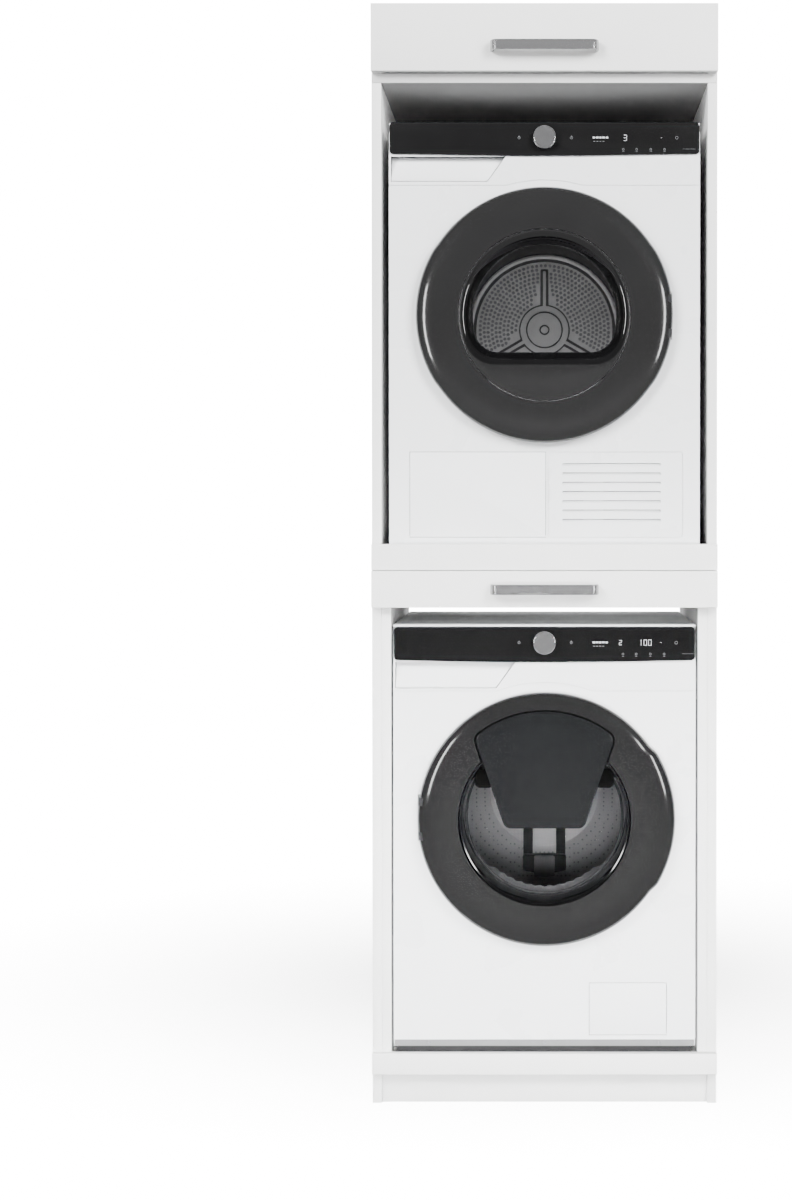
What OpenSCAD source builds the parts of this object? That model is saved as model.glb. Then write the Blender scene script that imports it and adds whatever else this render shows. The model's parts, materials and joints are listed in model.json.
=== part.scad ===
// Washer and heat pump dryer in a tall cabinet, with a drawer on top and a pull-out shelf between them.
// Origin on the floor at the middle of the bounding box. +Z is up, +X is right, and the front faces -Y.

/* [Cabinet] */
// Width over the outer side panels
cabinet_w = 680; // [676:1:700]
// Depth of the carcass without its fronts
carcass_d = 600; // [590:1:640]
// Thickness of the boards
board = 19; // [18:0.5:20]
// Top of the dryer compartment
ceiling_z = 2012; // [2008:1:2040]
// Height of the top drawer housing above the ceiling board
housing_h = 133; // [125:1:160]
// Thickness of each inner liner panel
liner_t = 18.5; // [17:0.5:19]
// Height of the plinth board
plinth_h = 61; // [50:1:61]
// Top of the shelf under the washer
washer_floor_z = 97; // [97:1:97]
// Top of the shelf under the dryer
dryer_floor_z = 1085; // [1085:1:1086]

/* [Handles] */
// Length of each bar handle
handle_l = 212; // [160:1:256]
// Height of the bar
handle_h = 20; // [12:1:24]
// Distance from the front to the outer face of the bar
handle_reach = 28; // [22:1:28]

/* [Machines] */
// Width of the washer
washer_w = 597; // [595:1:600]
// Width of the dryer
dryer_w = 612; // [596:1:616]
// Height of either machine
machine_h = 850; // [850:1:852]
// Depth of the washer housing
washer_d = 550; // [540:5:580]
// Depth of the dryer housing
dryer_d = 575; // [565:1:577]
// Radius of the washer door
washer_door_r = 251; // [246:1:252]
// Radius of the dryer door
dryer_door_r = 252; // [246:0.5:252]
// Radius of both selector knobs
knob_r = 22.5; // [18:0.5:24]

/* [Hidden] */
$fn = 96;

// Planes shared by the cabinet pieces
front_gap = 3;
overall_d = carcass_d + front_gap + board + handle_reach;
carcass_y = -overall_d / 2 + handle_reach + board + front_gap;
back_y = overall_d / 2;
front_y = carcass_y - front_gap - board;
half_w = cabinet_w / 2;
inner_w = half_w - board;
liner_x = inner_w - liner_t;
roof_z = ceiling_z + board;
top_z = ceiling_z + housing_h + board;
shelf_t = 2 * board;
rail_low = 61;
rail_high = 102;
middle_low = 1055;
middle_high = 1106;
pull_low = 981.5;
pull_high = 1053.5;
white = [0.93, 0.93, 0.92];
steel = [0.72, 0.73, 0.74];
dark = [0.2, 0.21, 0.22];
black = [0.1, 0.1, 0.11];

// Points of one rounded corner, then of a whole rounded rectangle centred on the origin
function corner(cx, cy, r, from, n = 6) =
    [for (i = [0:n]) [cx + r * cos(from + 90 * i / n), cy + r * sin(from + 90 * i / n)]];
function rounded(w, h, r) = concat(
    corner(w / 2 - r, h / 2 - r, r, 0),
    corner(-w / 2 + r, h / 2 - r, r, 90),
    corner(-w / 2 + r, -h / 2 + r, r, 180),
    corner(w / 2 - r, -h / 2 + r, r, 270));

// A block between two corners
module block(low, high) {
    translate(low)
        cube(high - low);
}

// A block whose front outline, seen along Y, has rounded corners
module slab(low, high, r) {
    translate([(low[0] + high[0]) / 2, high[1], (low[2] + high[2]) / 2])
        rotate([90, 0, 0])
            linear_extrude(high[1] - low[1])
                polygon(rounded(high[0] - low[0], high[2] - low[2], r));
}

// A cylinder along Y between two planes
module drum_along(x, z, r, y0, y1) {
    translate([x, y1, z])
        rotate([90, 0, 0])
            cylinder(r = r, h = y1 - y0);
}

// A cylinder along X between two planes
module rod_across(y, z, r, x0, x1) {
    translate([x0, y, z])
        rotate([0, 90, 0])
            cylinder(r = r, h = x1 - x0);
}

// A turned solid about an axis along Y: profile points are [radius, height in front of plane y]
module turned(x, y, z) {
    translate([x, y, z])
        rotate([90, 0, 0])
            rotate_extrude()
                children();
}

// Both sides of the middle plane
module both_sides() {
    children();
    mirror([1, 0, 0])
        children();
}

/* Cabinet */
module side_panel() {
    block([inner_w, carcass_y, 0], [half_w, back_y, ceiling_z]);
}

module side_panel_left() {
    color(white)
        mirror([1, 0, 0])
            side_panel();
}

module side_panel_right() {
    color(white)
        side_panel();
}

module liner() {
    block([liner_x, carcass_y, washer_floor_z], [inner_w, back_y, dryer_floor_z - shelf_t]);
}

module liner_left() {
    color(white)
        mirror([1, 0, 0])
            liner();
}

module liner_right() {
    color(white)
        liner();
}

module ceiling_board() {
    color(white)
        block([-half_w, carcass_y, ceiling_z], [half_w, back_y, roof_z]);
}

module drawer_cheeks() {
    color(white)
        both_sides()
            block([inner_w, carcass_y, roof_z], [half_w, back_y, top_z - board]);
}

module top_panel() {
    color(white)
        block([-half_w, carcass_y, top_z - board], [half_w, back_y, top_z]);
}

module dryer_shelf() {
    color(white)
        block([-inner_w, carcass_y, dryer_floor_z - shelf_t], [inner_w, back_y, dryer_floor_z]);
}

module rail(low, high) {
    color(white)
        block([-half_w, carcass_y - board, low], [half_w, carcass_y, high]);
}

module middle_rail() {
    rail(middle_low, middle_high);
}

module bottom_rail() {
    rail(rail_low, rail_high);
}

module washer_shelf() {
    color(white)
        block([-inner_w, carcass_y, washer_floor_z - shelf_t + 2], [inner_w, back_y, washer_floor_z]);
}

plinth_recess = 8;
module plinth_board() {
    color(white)
        block([-inner_w, carcass_y + plinth_recess, 0],
            [inner_w, carcass_y + plinth_recess + board, plinth_h]);
}

// Stretchers across the back. The top one carries the two screw holes for the wall.
stretcher_h = 90;
wall_screw_x = 220;
wall_screw_z = ceiling_z - stretcher_h / 2;
wall_screw_r = 3.25;
module stretcher(low, half) {
    block([-half, back_y - board, low], [half, back_y, low + stretcher_h]);
}

module back_stretchers() {
    color(white)
        difference() {
            union() {
                stretcher(ceiling_z - stretcher_h, inner_w);
                stretcher(dryer_floor_z, inner_w);
                stretcher(washer_floor_z, liner_x);
            }
            both_sides()
                drum_along(wall_screw_x, wall_screw_z, wall_screw_r, back_y - board - 1, back_y + 1);
        }
}

/* Runners: a U-shaped cabinet member and a flat moving member inside it */
runner_w = 12;
runner_h = 34;
runner_l = 520;
runner_y = carcass_y + 8;
drawer_runner_z = roof_z + 40;
pull_runner_z = 1017;
channel_wall = 2.5;
slide_gap = 0.8;

// The outer wall lies on x, and the channel opens towards the middle
module runner_channel(x, z) {
    difference() {
        block([x - runner_w, runner_y, z - runner_h / 2], [x, runner_y + runner_l, z + runner_h / 2]);
        block([x - runner_w - 1, runner_y - 1, z - runner_h / 2 + channel_wall],
            [x - channel_wall, runner_y + runner_l + 1, z + runner_h / 2 - channel_wall]);
    }
}

module runner_slide(x, z) {
    half = runner_h / 2 - channel_wall - slide_gap;
    block([x - runner_w - slide_gap, runner_y, z - half],
        [x - channel_wall - slide_gap, runner_y + runner_l - 20, z + half]);
}

module cabinet_runners() {
    color(steel)
        both_sides() {
            runner_channel(inner_w, drawer_runner_z);
            runner_channel(liner_x, pull_runner_z);
        }
}

/* Bar handle: a square bar with two legs, its ends turned in */
module bar_handle(z) {
    leg = 16;
    bar_t = 10;
    edge = 4;
    color(steel)
        translate([0, 0, z])
            difference() {
                translate([0, 0, -handle_h / 2])
                    linear_extrude(handle_h)
                        translate([0, front_y - handle_reach / 2])
                            polygon(rounded(handle_l, handle_reach, edge));
                block([-handle_l / 2 + leg, front_y - handle_reach + bar_t, -handle_h],
                    [handle_l / 2 - leg, front_y + 1, handle_h]);
            }
}

/* Top drawer */
drawer_handle_z = 2079;
box_gap = runner_w + slide_gap;
box_wall = 12;
box_back = carcass_y + 540;
module drawer_front() {
    color(white)
        block([-half_w, front_y, roof_z + 1], [half_w, front_y + board, top_z]);
}

module drawer_box() {
    x = inner_w - box_gap;
    low = roof_z + 12;
    high = top_z - board - 14;
    color([0.85, 0.85, 0.84])
        difference() {
            block([-x, front_y + board, low], [x, box_back, high]);
            block([-x + box_wall, front_y + board + box_wall, low + box_wall],
                [x - box_wall, box_back - box_wall, high + 1]);
        }
}

module drawer_slides() {
    color(steel)
        both_sides()
            runner_slide(inner_w, drawer_runner_z);
}

module drawer_handle() {
    bar_handle(drawer_handle_z);
}

/* Pull-out shelf */
pullout_handle_z = 1017.5;
module pullout_front() {
    color(white)
        block([-half_w, front_y, pull_low], [half_w, front_y + board, pull_high]);
}

module pullout_board() {
    x = liner_x - box_gap;
    color(white)
        block([-x, front_y + board, pull_runner_z - 12], [x, box_back, pull_runner_z + 7]);
}

module pullout_slides() {
    color(steel)
        both_sides()
            runner_slide(liner_x, pull_runner_z);
}

module pullout_handle() {
    bar_handle(pullout_handle_z);
}

/* Shared by both machines */
washer_y = carcass_y + 5;
dryer_y = carcass_y + 3;
washer_top_z = washer_floor_z + machine_h;
dryer_top_z = dryer_floor_z + machine_h;
washer_door_z = 565;
dryer_door_z = 1554.5;
washer_seam_z = 816;
dryer_seam_z = 1812;
foot_h = 15;
skin = 2;
front_t = 6;
lid_t = 17;
lid_lip = 4.5;
run_fit = 0.05;
door_opening_r = 188;
washer_half = washer_w / 2;
dryer_half = dryer_w / 2;

function arc(cx, cy, r, from, to, n = 8) =
    [for (i = [0:n]) [cx + r * cos(from + (to - from) * i / n), cy + r * sin(from + (to - from) * i / n)]];

// A flat shape given in X and Z, extruded between two planes
module plate(x, z, y0, y1) {
    translate([x, y1, z])
        rotate([90, 0, 0])
            linear_extrude(y1 - y0)
                children();
}

// Sheet housing, open at the front and at the top
module sheet_housing(half, y0, y1, z0, z1) {
    difference() {
        block([-half, y0, z0], [half, y1, z1]);
        block([-half + skin, y0 - 1, z0 + skin], [half - skin, y1 - skin, z1 + 1]);
    }
}

// Lid: a pan turned upside down, with a lip over the control panel
module lid(half, y0, y1, top) {
    difference() {
        block([-half, y0 + 11, top - lid_t], [half, y1, top]);
        block([-half + skin, y0 + 11 + skin, top - lid_t - 1], [half - skin, y1 - skin, top - skin]);
    }
    block([-half, y0, top - lid_lip], [half, y0 + 12, top]);
}

// Control panel: rounded ends and a lower edge that sags in the middle
fascia_t = 10;
fascia_sag = 4;
fascia_edge = 7;
fascia_steps = 16;
panel_gap = 0.6;
module fascia_outline(half, low, high) {
    sag = [for (i = [0:fascia_steps])
        let (u = 2 * i / fascia_steps - 1)
            [(half - fascia_edge) * u, low - fascia_sag * (1 - u * u)]];
    polygon(concat(sag,
        arc(half - fascia_edge, low + fascia_edge, fascia_edge, -90, 0),
        arc(half - fascia_edge, high - fascia_edge, fascia_edge, 0, 90),
        arc(-half + fascia_edge, high - fascia_edge, fascia_edge, 90, 180),
        arc(-half + fascia_edge, low + fascia_edge, fascia_edge, 180, 270)));
}

module fascia(half, y, low, high) {
    difference() {
        plate(0, 0, y - 4, y - 4 + fascia_t)
            fascia_outline(half, low, high);
        children();
    }
}

// Front sheet from low up to the panel, whose lower edge it follows
module front_sheet(half, y, low, panel_low, panel_high) {
    difference() {
        block([-half, y, low], [half, y + front_t, panel_low + fascia_edge]);
        plate(0, 0, y - 1, y + front_t + 1)
            offset(delta = panel_gap)
                fascia_outline(half - 1.5, panel_low, panel_high);
    }
}

// Selector knob on a shaft that turns in the control panel
shaft_r = 3;
module knob(y, z) {
    color(steel)
        turned(0, y - 4, z)
            polygon(concat(
                [[0, -9], [shaft_r, -9], [shaft_r, 0.5], [knob_r - 2, 0.5], [knob_r, 2.5]],
                arc(knob_r - 2, 11, 2, 0, 90),
                [[0, 13]]));
}

module shaft_bore(y, z) {
    drum_along(0, z, shaft_r + run_fit, y - 20, y + 40);
}

// Outline of a drawer with a slanted right end, x0 and the two right corners in X
function drawer_outline(x0, x_low, x_high, low, high) = [[x0, low], [x_low, low], [x_high, high], [x0, high]];

// Drawer front whose face leans back under the control panel, as the finger grip
grip_depth = 16;
module grip_front(outline, y, low, high) {
    difference() {
        plate(0, 0, y, y + 24)
            polygon(outline);
        translate([-400, y, low + 5])
            rotate([-atan(grip_depth / (high - low - 5)), 0, 0])
                translate([0, -60, 0])
                    cube([800, 60, 2 * (high - low)]);
    }
}

// Seam across the front: straight at both sides, and an arc above the door
groove_w = 1.2;
groove_d = 2;
module seam(half, y, z, door_z, arc_r) {
    reach = sqrt(arc_r * arc_r - (z - door_z) * (z - door_z));
    difference() {
        block([-half - 1, y - 1, z - groove_w / 2], [half + 1, y + groove_d, z + groove_w / 2]);
        block([-reach, y - 2, z - 2], [reach, y + groove_d + 1, z + 2]);
    }
    intersection() {
        difference() {
            drum_along(0, door_z, arc_r + groove_w / 2, y - 1, y + groove_d);
            drum_along(0, door_z, arc_r - groove_w / 2, y - 2, y + groove_d + 1);
        }
        block([-reach, y - 3, z - 0.5], [reach, y + 3, z + arc_r]);
    }
}

// Door ring: the rim is a half torus about the hinge line, and rolls up to a flat face
rim = 11.5;
door_gap = 1;
door_t = 36;
roll = 60;
hinge_fwd = door_gap + rim;
function rim_points(r) = concat(
    arc(r - rim, hinge_fwd, rim, -90, 0, 6),
    [for (t = [10:10:90]) [r - roll * (1 - cos(t)), hinge_fwd + (door_t - hinge_fwd) * sin(t)]]);

// Hinge: two fixed ears with a vertical pin, inside pockets of the door ring
pin_r = 3;
ear_low = 27;
ear_high = 41;
pin_half = 46;
ear_r = 8;
pocket_r = 13.5;
module hinge_pockets(x, y, z) {
    translate([x, y, z]) {
        for (s = [-1, 1])
            translate([0, 0, s * (ear_low + ear_high) / 2])
                cylinder(r = pocket_r, h = ear_high - ear_low + 2, center = true);
        cylinder(r = pin_r + run_fit, h = 2 * pin_half + 2, center = true);
    }
}

module hinge_bracket(x, y, z) {
    color(steel)
        translate([x, y, z]) {
            cylinder(r = pin_r, h = 2 * pin_half, center = true);
            for (s = [-1, 1])
                translate([0, 0, s * (ear_low + ear_high) / 2]) {
                    cylinder(r = ear_r, h = ear_high - ear_low, center = true);
                    translate([-6, 0, (ear_low - ear_high) / 2])
                        cube([12, hinge_fwd + 1, ear_high - ear_low]);
                }
            translate([-11, hinge_fwd + 1, -pin_half])
                cube([22, 3, 2 * pin_half]);
        }
}

// Pocket in the front panel for the plate of the hinge, and the way in for its ears
module hinge_seat(x, y, z) {
    translate([x - 11.2, y - 1, z - pin_half - 0.2])
        cube([22.4, 5.2, 2 * pin_half + 0.4]);
}

// Latch hook on the free side of a door, and its slot in the front panel
hook_x = 212;
module hook(side, y, z) {
    x = side * hook_x;
    block([x - 3, y - door_gap - 8, z - 10], [x + 3, y + 9, z + 10]);
}

module hook_slot(side, y, z) {
    x = side * hook_x;
    block([x - 6, y - 1, z - 13], [x + 6, y + front_t + 1, z + 13]);
}

module feet(half, y0, y1, z) {
    color(black)
        both_sides()
            for (y = [y0 + 45, y1 - 45])
                translate([half - 31, y, z]) {
                    cylinder(r = 18, h = 7);
                    cylinder(r = 6, h = foot_h);
                }
}

/* Washer */
washer_back_y = washer_y + washer_d;
washer_base_z = washer_floor_z + foot_h;
washer_panel_low = 877;
washer_panel_high = 942;
washer_knob_z = 911.5;
washer_front_low = 125;
soap_low = 822;
soap_high = 872;
soap_x0 = -washer_half + 5;
soap_x_low = -96;
soap_x_high = -60;
soap_outline = drawer_outline(soap_x0, soap_x_low, soap_x_high, soap_low, soap_high);
flap_x0 = 89;
flap_x1 = 241;
flap_low = 134.5;
flap_high = 237;
flap_t = 4;
flap_pin_r = 1.5;

module washer_housing() {
    color(white)
        difference() {
            sheet_housing(washer_half, washer_y + front_t + 0.5, washer_back_y, washer_base_z, washer_top_z - lid_t);
            inlet_block(inlet_half + 0.2);
        }
    color(steel)
        difference() {
            block([-washer_half + 1, washer_y + 2, washer_base_z],
                [washer_half - 1, washer_y + front_t + 1, washer_front_low - 0.5]);
            for (x = [-228, 0, 228])
                drum_along(x, washer_base_z + 7, 2.6, washer_y, washer_y + 20);
        }
}

module washer_top() {
    color(white)
        lid(washer_half, washer_y, washer_back_y, washer_top_z);
}

module washer_front() {
    hinge_x = -(washer_door_r - rim);
    color(white)
        difference() {
            front_sheet(washer_half, washer_y, washer_front_low, washer_panel_low, washer_panel_high);
            drum_along(0, washer_door_z, door_opening_r, washer_y - 1, washer_y + front_t + 1);
            plate(0, 0, washer_y - 1, washer_y + front_t + 1)
                polygon(drawer_outline(soap_x0 - 1, soap_x_low + 1, soap_x_high + 3, soap_low - 1, soap_high + 1));
            seam(washer_half, washer_y, washer_seam_z, washer_door_z, 268);
            hinge_seat(hinge_x, washer_y, washer_door_z);
            hook_slot(1, washer_y, washer_door_z);
            block([flap_x0 - 1, washer_y - 1, flap_low - 1], [flap_x1 + 1, washer_y + front_t + 1, flap_high + 1]);
            rod_across(washer_y + flap_t / 2, flap_low + 1.6, flap_pin_r + run_fit, flap_x0 - 5, flap_x1 + 5);
        }
}

module washer_fascia() {
    color(black)
        fascia(washer_half - 1.5, washer_y, washer_panel_low, washer_panel_high)
            shaft_bore(washer_y, washer_knob_z);
}

module washer_knob() {
    knob(washer_y, washer_knob_z);
}

tray_x0 = -272;
tray_x1 = -104;
tray_low = 832;
tray_high = 868;
tray_l = 270;
tray_wall = 3;
module detergent_drawer() {
    wide = (tray_x1 - tray_x0 - 4 * tray_wall) / 3;
    color(white) {
        grip_front(soap_outline, washer_y, soap_low, soap_high);
        difference() {
            block([tray_x0, washer_y + 22, tray_low], [tray_x1, washer_y + tray_l, tray_high]);
            for (i = [0:2])
                translate([tray_x0 + tray_wall + i * (wide + tray_wall), washer_y + 30, tray_low + tray_wall])
                    cube([wide, tray_l - 30 - tray_wall, tray_high]);
        }
    }
}

washer_glass_r = 155;
washer_groove_r = 169;
hatch_back = 20;
hatch_front = 38;
hatch_hinge_z = washer_door_z - 8;
hatch_hinge_fwd = 25;
hatch_pin_r = 2.5;

// Outline of the hatch about the door centre, with all its rounded corners; grow enlarges it
function hatch_points(grow) =
    let (top = 213 + grow, shoulder = 19 + grow, foot = 16 + grow,
        turn = 53.3, side = 18.9)
    concat(
        arc(0, 0, top, turn, 180 - turn, 16),
        arc(-116, 155.5, shoulder, 180 - turn, 180 + side),
        arc(-66, -1, foot, 180 + side, 270),
        arc(66, -1, foot, 270, 360 - side),
        arc(116, 155.5, shoulder, -side, turn));

// Hole through which laundry is added
module loading_hole() {
    slab([-72, washer_y - 60, washer_door_z + 62], [72, washer_y + 120, washer_door_z + 142], 20);
}

module hatch_knuckles(r, x0, x1) {
    both_sides()
        rod_across(washer_y - hatch_hinge_fwd, hatch_hinge_z, r, x0, x1);
}

module washer_door_ring() {
    hinge_x = -(washer_door_r - rim);
    color(dark) {
        difference() {
            union() {
                turned(0, washer_y, washer_door_z)
                    polygon(concat(
                        [[washer_groove_r, 12], [washer_groove_r, door_gap]],
                        rim_points(washer_door_r),
                        [[washer_groove_r + 1.5, door_t], [washer_groove_r + 1.5, door_t - 3],
                            [washer_groove_r, door_t - 3], [washer_groove_r - 1, door_t - 1],
                            [washer_glass_r + 3, door_t - 4], [washer_glass_r, door_t - 12],
                            [washer_glass_r, 12]]));
                plate(0, washer_door_z, washer_y - hatch_back + 1, washer_y - 12)
                    polygon(hatch_points(-3));
            }
            plate(0, washer_door_z, washer_y - door_t - 5, washer_y - hatch_back + 0.6)
                polygon(hatch_points(1.2));
            loading_hole();
            block([-90, washer_y - hatch_back - 1, hatch_hinge_z - 18],
                [90, washer_y - hatch_hinge_fwd + 10.8, hatch_hinge_z + 11]);
            hinge_pockets(hinge_x, washer_y - hinge_fwd, washer_door_z);
        }
        hook(1, washer_y, washer_door_z);
        hatch_knuckles(hatch_pin_r, 28, 64);
        hatch_knuckles(4.5, 40, 52);
        both_sides()
            block([40, washer_y - hatch_hinge_fwd, hatch_hinge_z - 4.5],
                [52, washer_y - 13, hatch_hinge_z + 4.5]);
    }
}

module washer_door_bowl() {
    color([0.35, 0.38, 0.4])
        difference() {
            turned(0, washer_y, washer_door_z)
                polygon([[0, -96], [90, -88], [122, -70], [140, -35], [148, 0], [152, 5], [168, 5],
                    [168, 11.5], [146, 11.5], [143, 2], [134.5, -33], [117, -67], [88, -83], [0, -91]]);
            loading_hole();
        }
}

module add_hatch() {
    color([0.16, 0.17, 0.2])
        difference() {
            plate(0, washer_door_z, washer_y - hatch_front, washer_y - hatch_back)
                polygon(hatch_points(0));
            hatch_knuckles(hatch_pin_r + run_fit, 26, 66);
            both_sides()
                block([39, washer_y - hatch_hinge_fwd - 6.5, hatch_hinge_z - 30],
                    [53, washer_y - hatch_back + 1, hatch_hinge_z + 7]);
        }
}

module washer_hinge() {
    hinge_bracket(-(washer_door_r - rim), washer_y - hinge_fwd, washer_door_z);
}

module washer_gasket() {
    color([0.3, 0.31, 0.32])
        turned(0, washer_y, washer_door_z)
            polygon([[187.5, -2], [187.5, -58], [194, -61], [194, -64], [180, -64], [176, -56],
                [180, -50], [180, -30], [160, -26], [158, -18], [163, -12], [176, -10], [180, -2]]);
}

tub_r = 268;
tub_front = 66;
tub_back = 430;
tub_wall = 4;
drum_r = 242;
drum_front = 78;
drum_back = 398;
axle_r = 15;
module washer_tub() {
    color([0.8, 0.8, 0.79])
        turned(0, washer_y, washer_door_z)
            polygon([[189, -tub_front], [tub_r, -tub_front], [tub_r, -tub_back], [axle_r + run_fit, -tub_back],
                [axle_r + run_fit, -tub_back + 26], [40, -tub_back + 26], [48, -tub_back + tub_wall],
                [tub_r - tub_wall, -tub_back + tub_wall], [tub_r - tub_wall, -tub_front - tub_wall],
                [189, -tub_front - tub_wall]]);
}

// Drum with a rolled front edge, three lifters, and the axle on its back
lifter_h = 50;
module washer_drum() {
    color(steel) {
        turned(0, washer_y, washer_door_z)
            polygon([[178, -drum_front], [drum_r, -drum_front - 6], [drum_r, -drum_back], [axle_r, -drum_back],
                [axle_r, -tub_back - 22], [0, -tub_back - 22], [0, -drum_back + 2], [drum_r - 2, -drum_back + 2],
                [drum_r - 2, -drum_front - 8], [178, -drum_front - 3]]);
        for (a = [30, 150, 270])
            translate([0, washer_y + drum_back - 1, washer_door_z])
                rotate([90, 0, 0])
                    rotate([0, 0, a])
                        linear_extrude(drum_back - drum_front - 30)
                            polygon([[drum_r - 1, -26], [drum_r - lifter_h, -9], [drum_r - lifter_h, 9],
                                [drum_r - 1, 26]]);
    }
}

pulley_r = 140;
belt_y0 = tub_back + 6;
belt_y1 = tub_back + 20;
motor_z = washer_door_z - tub_r - 74;
motor_pulley_r = 12;
pulley_span = washer_door_z - motor_z;
module washer_pulley() {
    color([0.6, 0.61, 0.62])
        difference() {
            turned(0, washer_y, washer_door_z)
                polygon([[axle_r, -belt_y0], [22, -belt_y0], [24, -belt_y0 - 4], [118, -belt_y0 - 4],
                    [122, -belt_y0], [pulley_r, -belt_y0], [pulley_r, -belt_y1], [122, -belt_y1],
                    [118, -belt_y1 + 4], [24, -belt_y1 + 4], [22, -belt_y1], [axle_r, -belt_y1]]);
            for (a = [0:60:300])
                drum_along(72 * cos(a), washer_door_z + 72 * sin(a), 26, washer_y + tub_back, washer_y + tub_back + 30);
        }
}

// Closed belt line round both pulleys, offset outwards by extra
function belt_line(extra) =
    let (big = pulley_r + extra, small = motor_pulley_r + extra, lean = asin((big - small) / pulley_span))
    concat(arc(0, 0, big, -lean, 180 + lean, 48), arc(0, -pulley_span, small, 180 + lean, 360 - lean, 16));

module washer_belt() {
    color(black)
        plate(0, washer_door_z, washer_y + belt_y0 + 1, washer_y + belt_y1 - 1)
            difference() {
                polygon(belt_line(3.6));
                polygon(belt_line(0.6));
            }
}

module washer_motor() {
    color([0.45, 0.46, 0.48]) {
        difference() {
            drum_along(0, motor_z, 62, washer_y + 240, washer_y + tub_back);
            drum_along(0, motor_z, 6 + run_fit, washer_y + 230, washer_y + tub_back + 5);
        }
        for (y = [262, 395])
            block([-75, washer_y + y, motor_z + 50], [75, washer_y + y + 18, motor_z + 66]);
    }
}

module washer_motor_pulley() {
    color(steel) {
        drum_along(0, motor_z, 6, washer_y + 242, washer_y + belt_y0);
        drum_along(0, motor_z, motor_pulley_r, washer_y + belt_y0, washer_y + belt_y1);
    }
}

module counterweight() {
    color([0.62, 0.62, 0.6])
        intersection() {
            turned(0, washer_y, washer_door_z)
                polygon([[198, -30], [262, -30], [262, -tub_front + 0.5], [198, -tub_front + 0.5]]);
            block([-300, washer_y, washer_door_z - 60], [300, washer_y + 90, washer_door_z + 246]);
        }
}

// Two hanging springs and two friction dampers
spring_turns = 24;
spring_pitch = 7.7;
module washer_suspension() {
    y = washer_y + 330;
    both_sides() {
        color(steel)
            translate([225, y, washer_door_z + 160])
                rotate_extrude()
                    polygon(concat([[0, 0]],
                        [for (i = [0:spring_turns]) [i % 2 == 0 ? 8 : 11, i * spring_pitch]],
                        [[0, spring_turns * spring_pitch]]));
        color(dark)
            translate([185, y, washer_base_z + skin]) {
                cylinder(r = 14, h = 110);
                cylinder(r = 6, h = 235);
            }
    }
}

pump_x = 165;
pump_z = 182;
module drain_pump() {
    color([0.5, 0.5, 0.52])
        difference() {
            union() {
                drum_along(pump_x, pump_z, 44, washer_y + 14, washer_y + 90);
                drum_along(pump_x, pump_z, 30, washer_y + 90, washer_y + 150);
                block([pump_x - 40, washer_y + 30, washer_base_z + skin], [pump_x + 40, washer_y + 80, pump_z]);
            }
            drum_along(pump_x, pump_z, 36 + run_fit, washer_y, washer_y + 84);
        }
}

module filter_cap() {
    color([0.35, 0.36, 0.38]) {
        drum_along(pump_x, pump_z, 36, washer_y + 18, washer_y + 30);
        difference() {
            drum_along(pump_x, pump_z, 30, washer_y + 30, washer_y + 80);
            drum_along(pump_x, pump_z, 26, washer_y + 34, washer_y + 90);
        }
        block([pump_x - 28, washer_y + 8, pump_z - 5], [pump_x + 28, washer_y + 19, pump_z + 5]);
    }
}

module filter_flap() {
    color(white) {
        slab([flap_x0, washer_y, flap_low], [flap_x1, washer_y + flap_t, flap_high], 1.4);
        rod_across(washer_y + flap_t / 2, flap_low + 1.6, flap_pin_r, flap_x0 - 4, flap_x1 + 4);
    }
}

module washer_feet() {
    feet(washer_half, washer_y, washer_back_y, washer_floor_z);
}

// Water inlet on the back, with the outside diameter of a 3/4 inch pipe thread
inlet_x = 230;
inlet_z = 850;
inlet_r = 13.2;
inlet_half = 22;
inlet_l = 18;
module inlet_block(half) {
    block([inlet_x - half, washer_back_y - 50, inlet_z - half], [inlet_x + half, washer_back_y, inlet_z + half]);
}

module water_inlet() {
    color(black)
        difference() {
            union() {
                inlet_block(inlet_half);
                drum_along(inlet_x, inlet_z, inlet_r, washer_back_y - 1, washer_back_y + inlet_l);
            }
            drum_along(inlet_x, inlet_z, 8, washer_back_y - 30, washer_back_y + 20);
        }
}

/* Dryer */
dryer_back_y = dryer_y + dryer_d;
dryer_base_z = dryer_floor_z + foot_h;
dryer_panel_low = 1873.5;
dryer_panel_high = dryer_top_z;
dryer_knob_z = 1905;
tank_low = 1820;
tank_high = 1868;
tank_top = 1861;
tank_outline = drawer_outline(-dryer_half + 5, -113, -79, tank_low, tank_high);
hatch_low = 1120;
hatch_high = 1287;
service_x0 = -265;
service_x1 = 2;
grille_x0 = 35;
grille_x1 = 230;
grille_z = 1153;
grille_pitch = 18.3;
grille_panel_x1 = 273;

module dryer_housing() {
    color(white) {
        sheet_housing(dryer_half, dryer_y + front_t + 0.5, dryer_back_y, dryer_base_z, dryer_top_z - lid_t);
        lid(dryer_half, dryer_y - 4 + fascia_t + panel_gap, dryer_back_y, dryer_top_z);
    }
}

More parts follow.
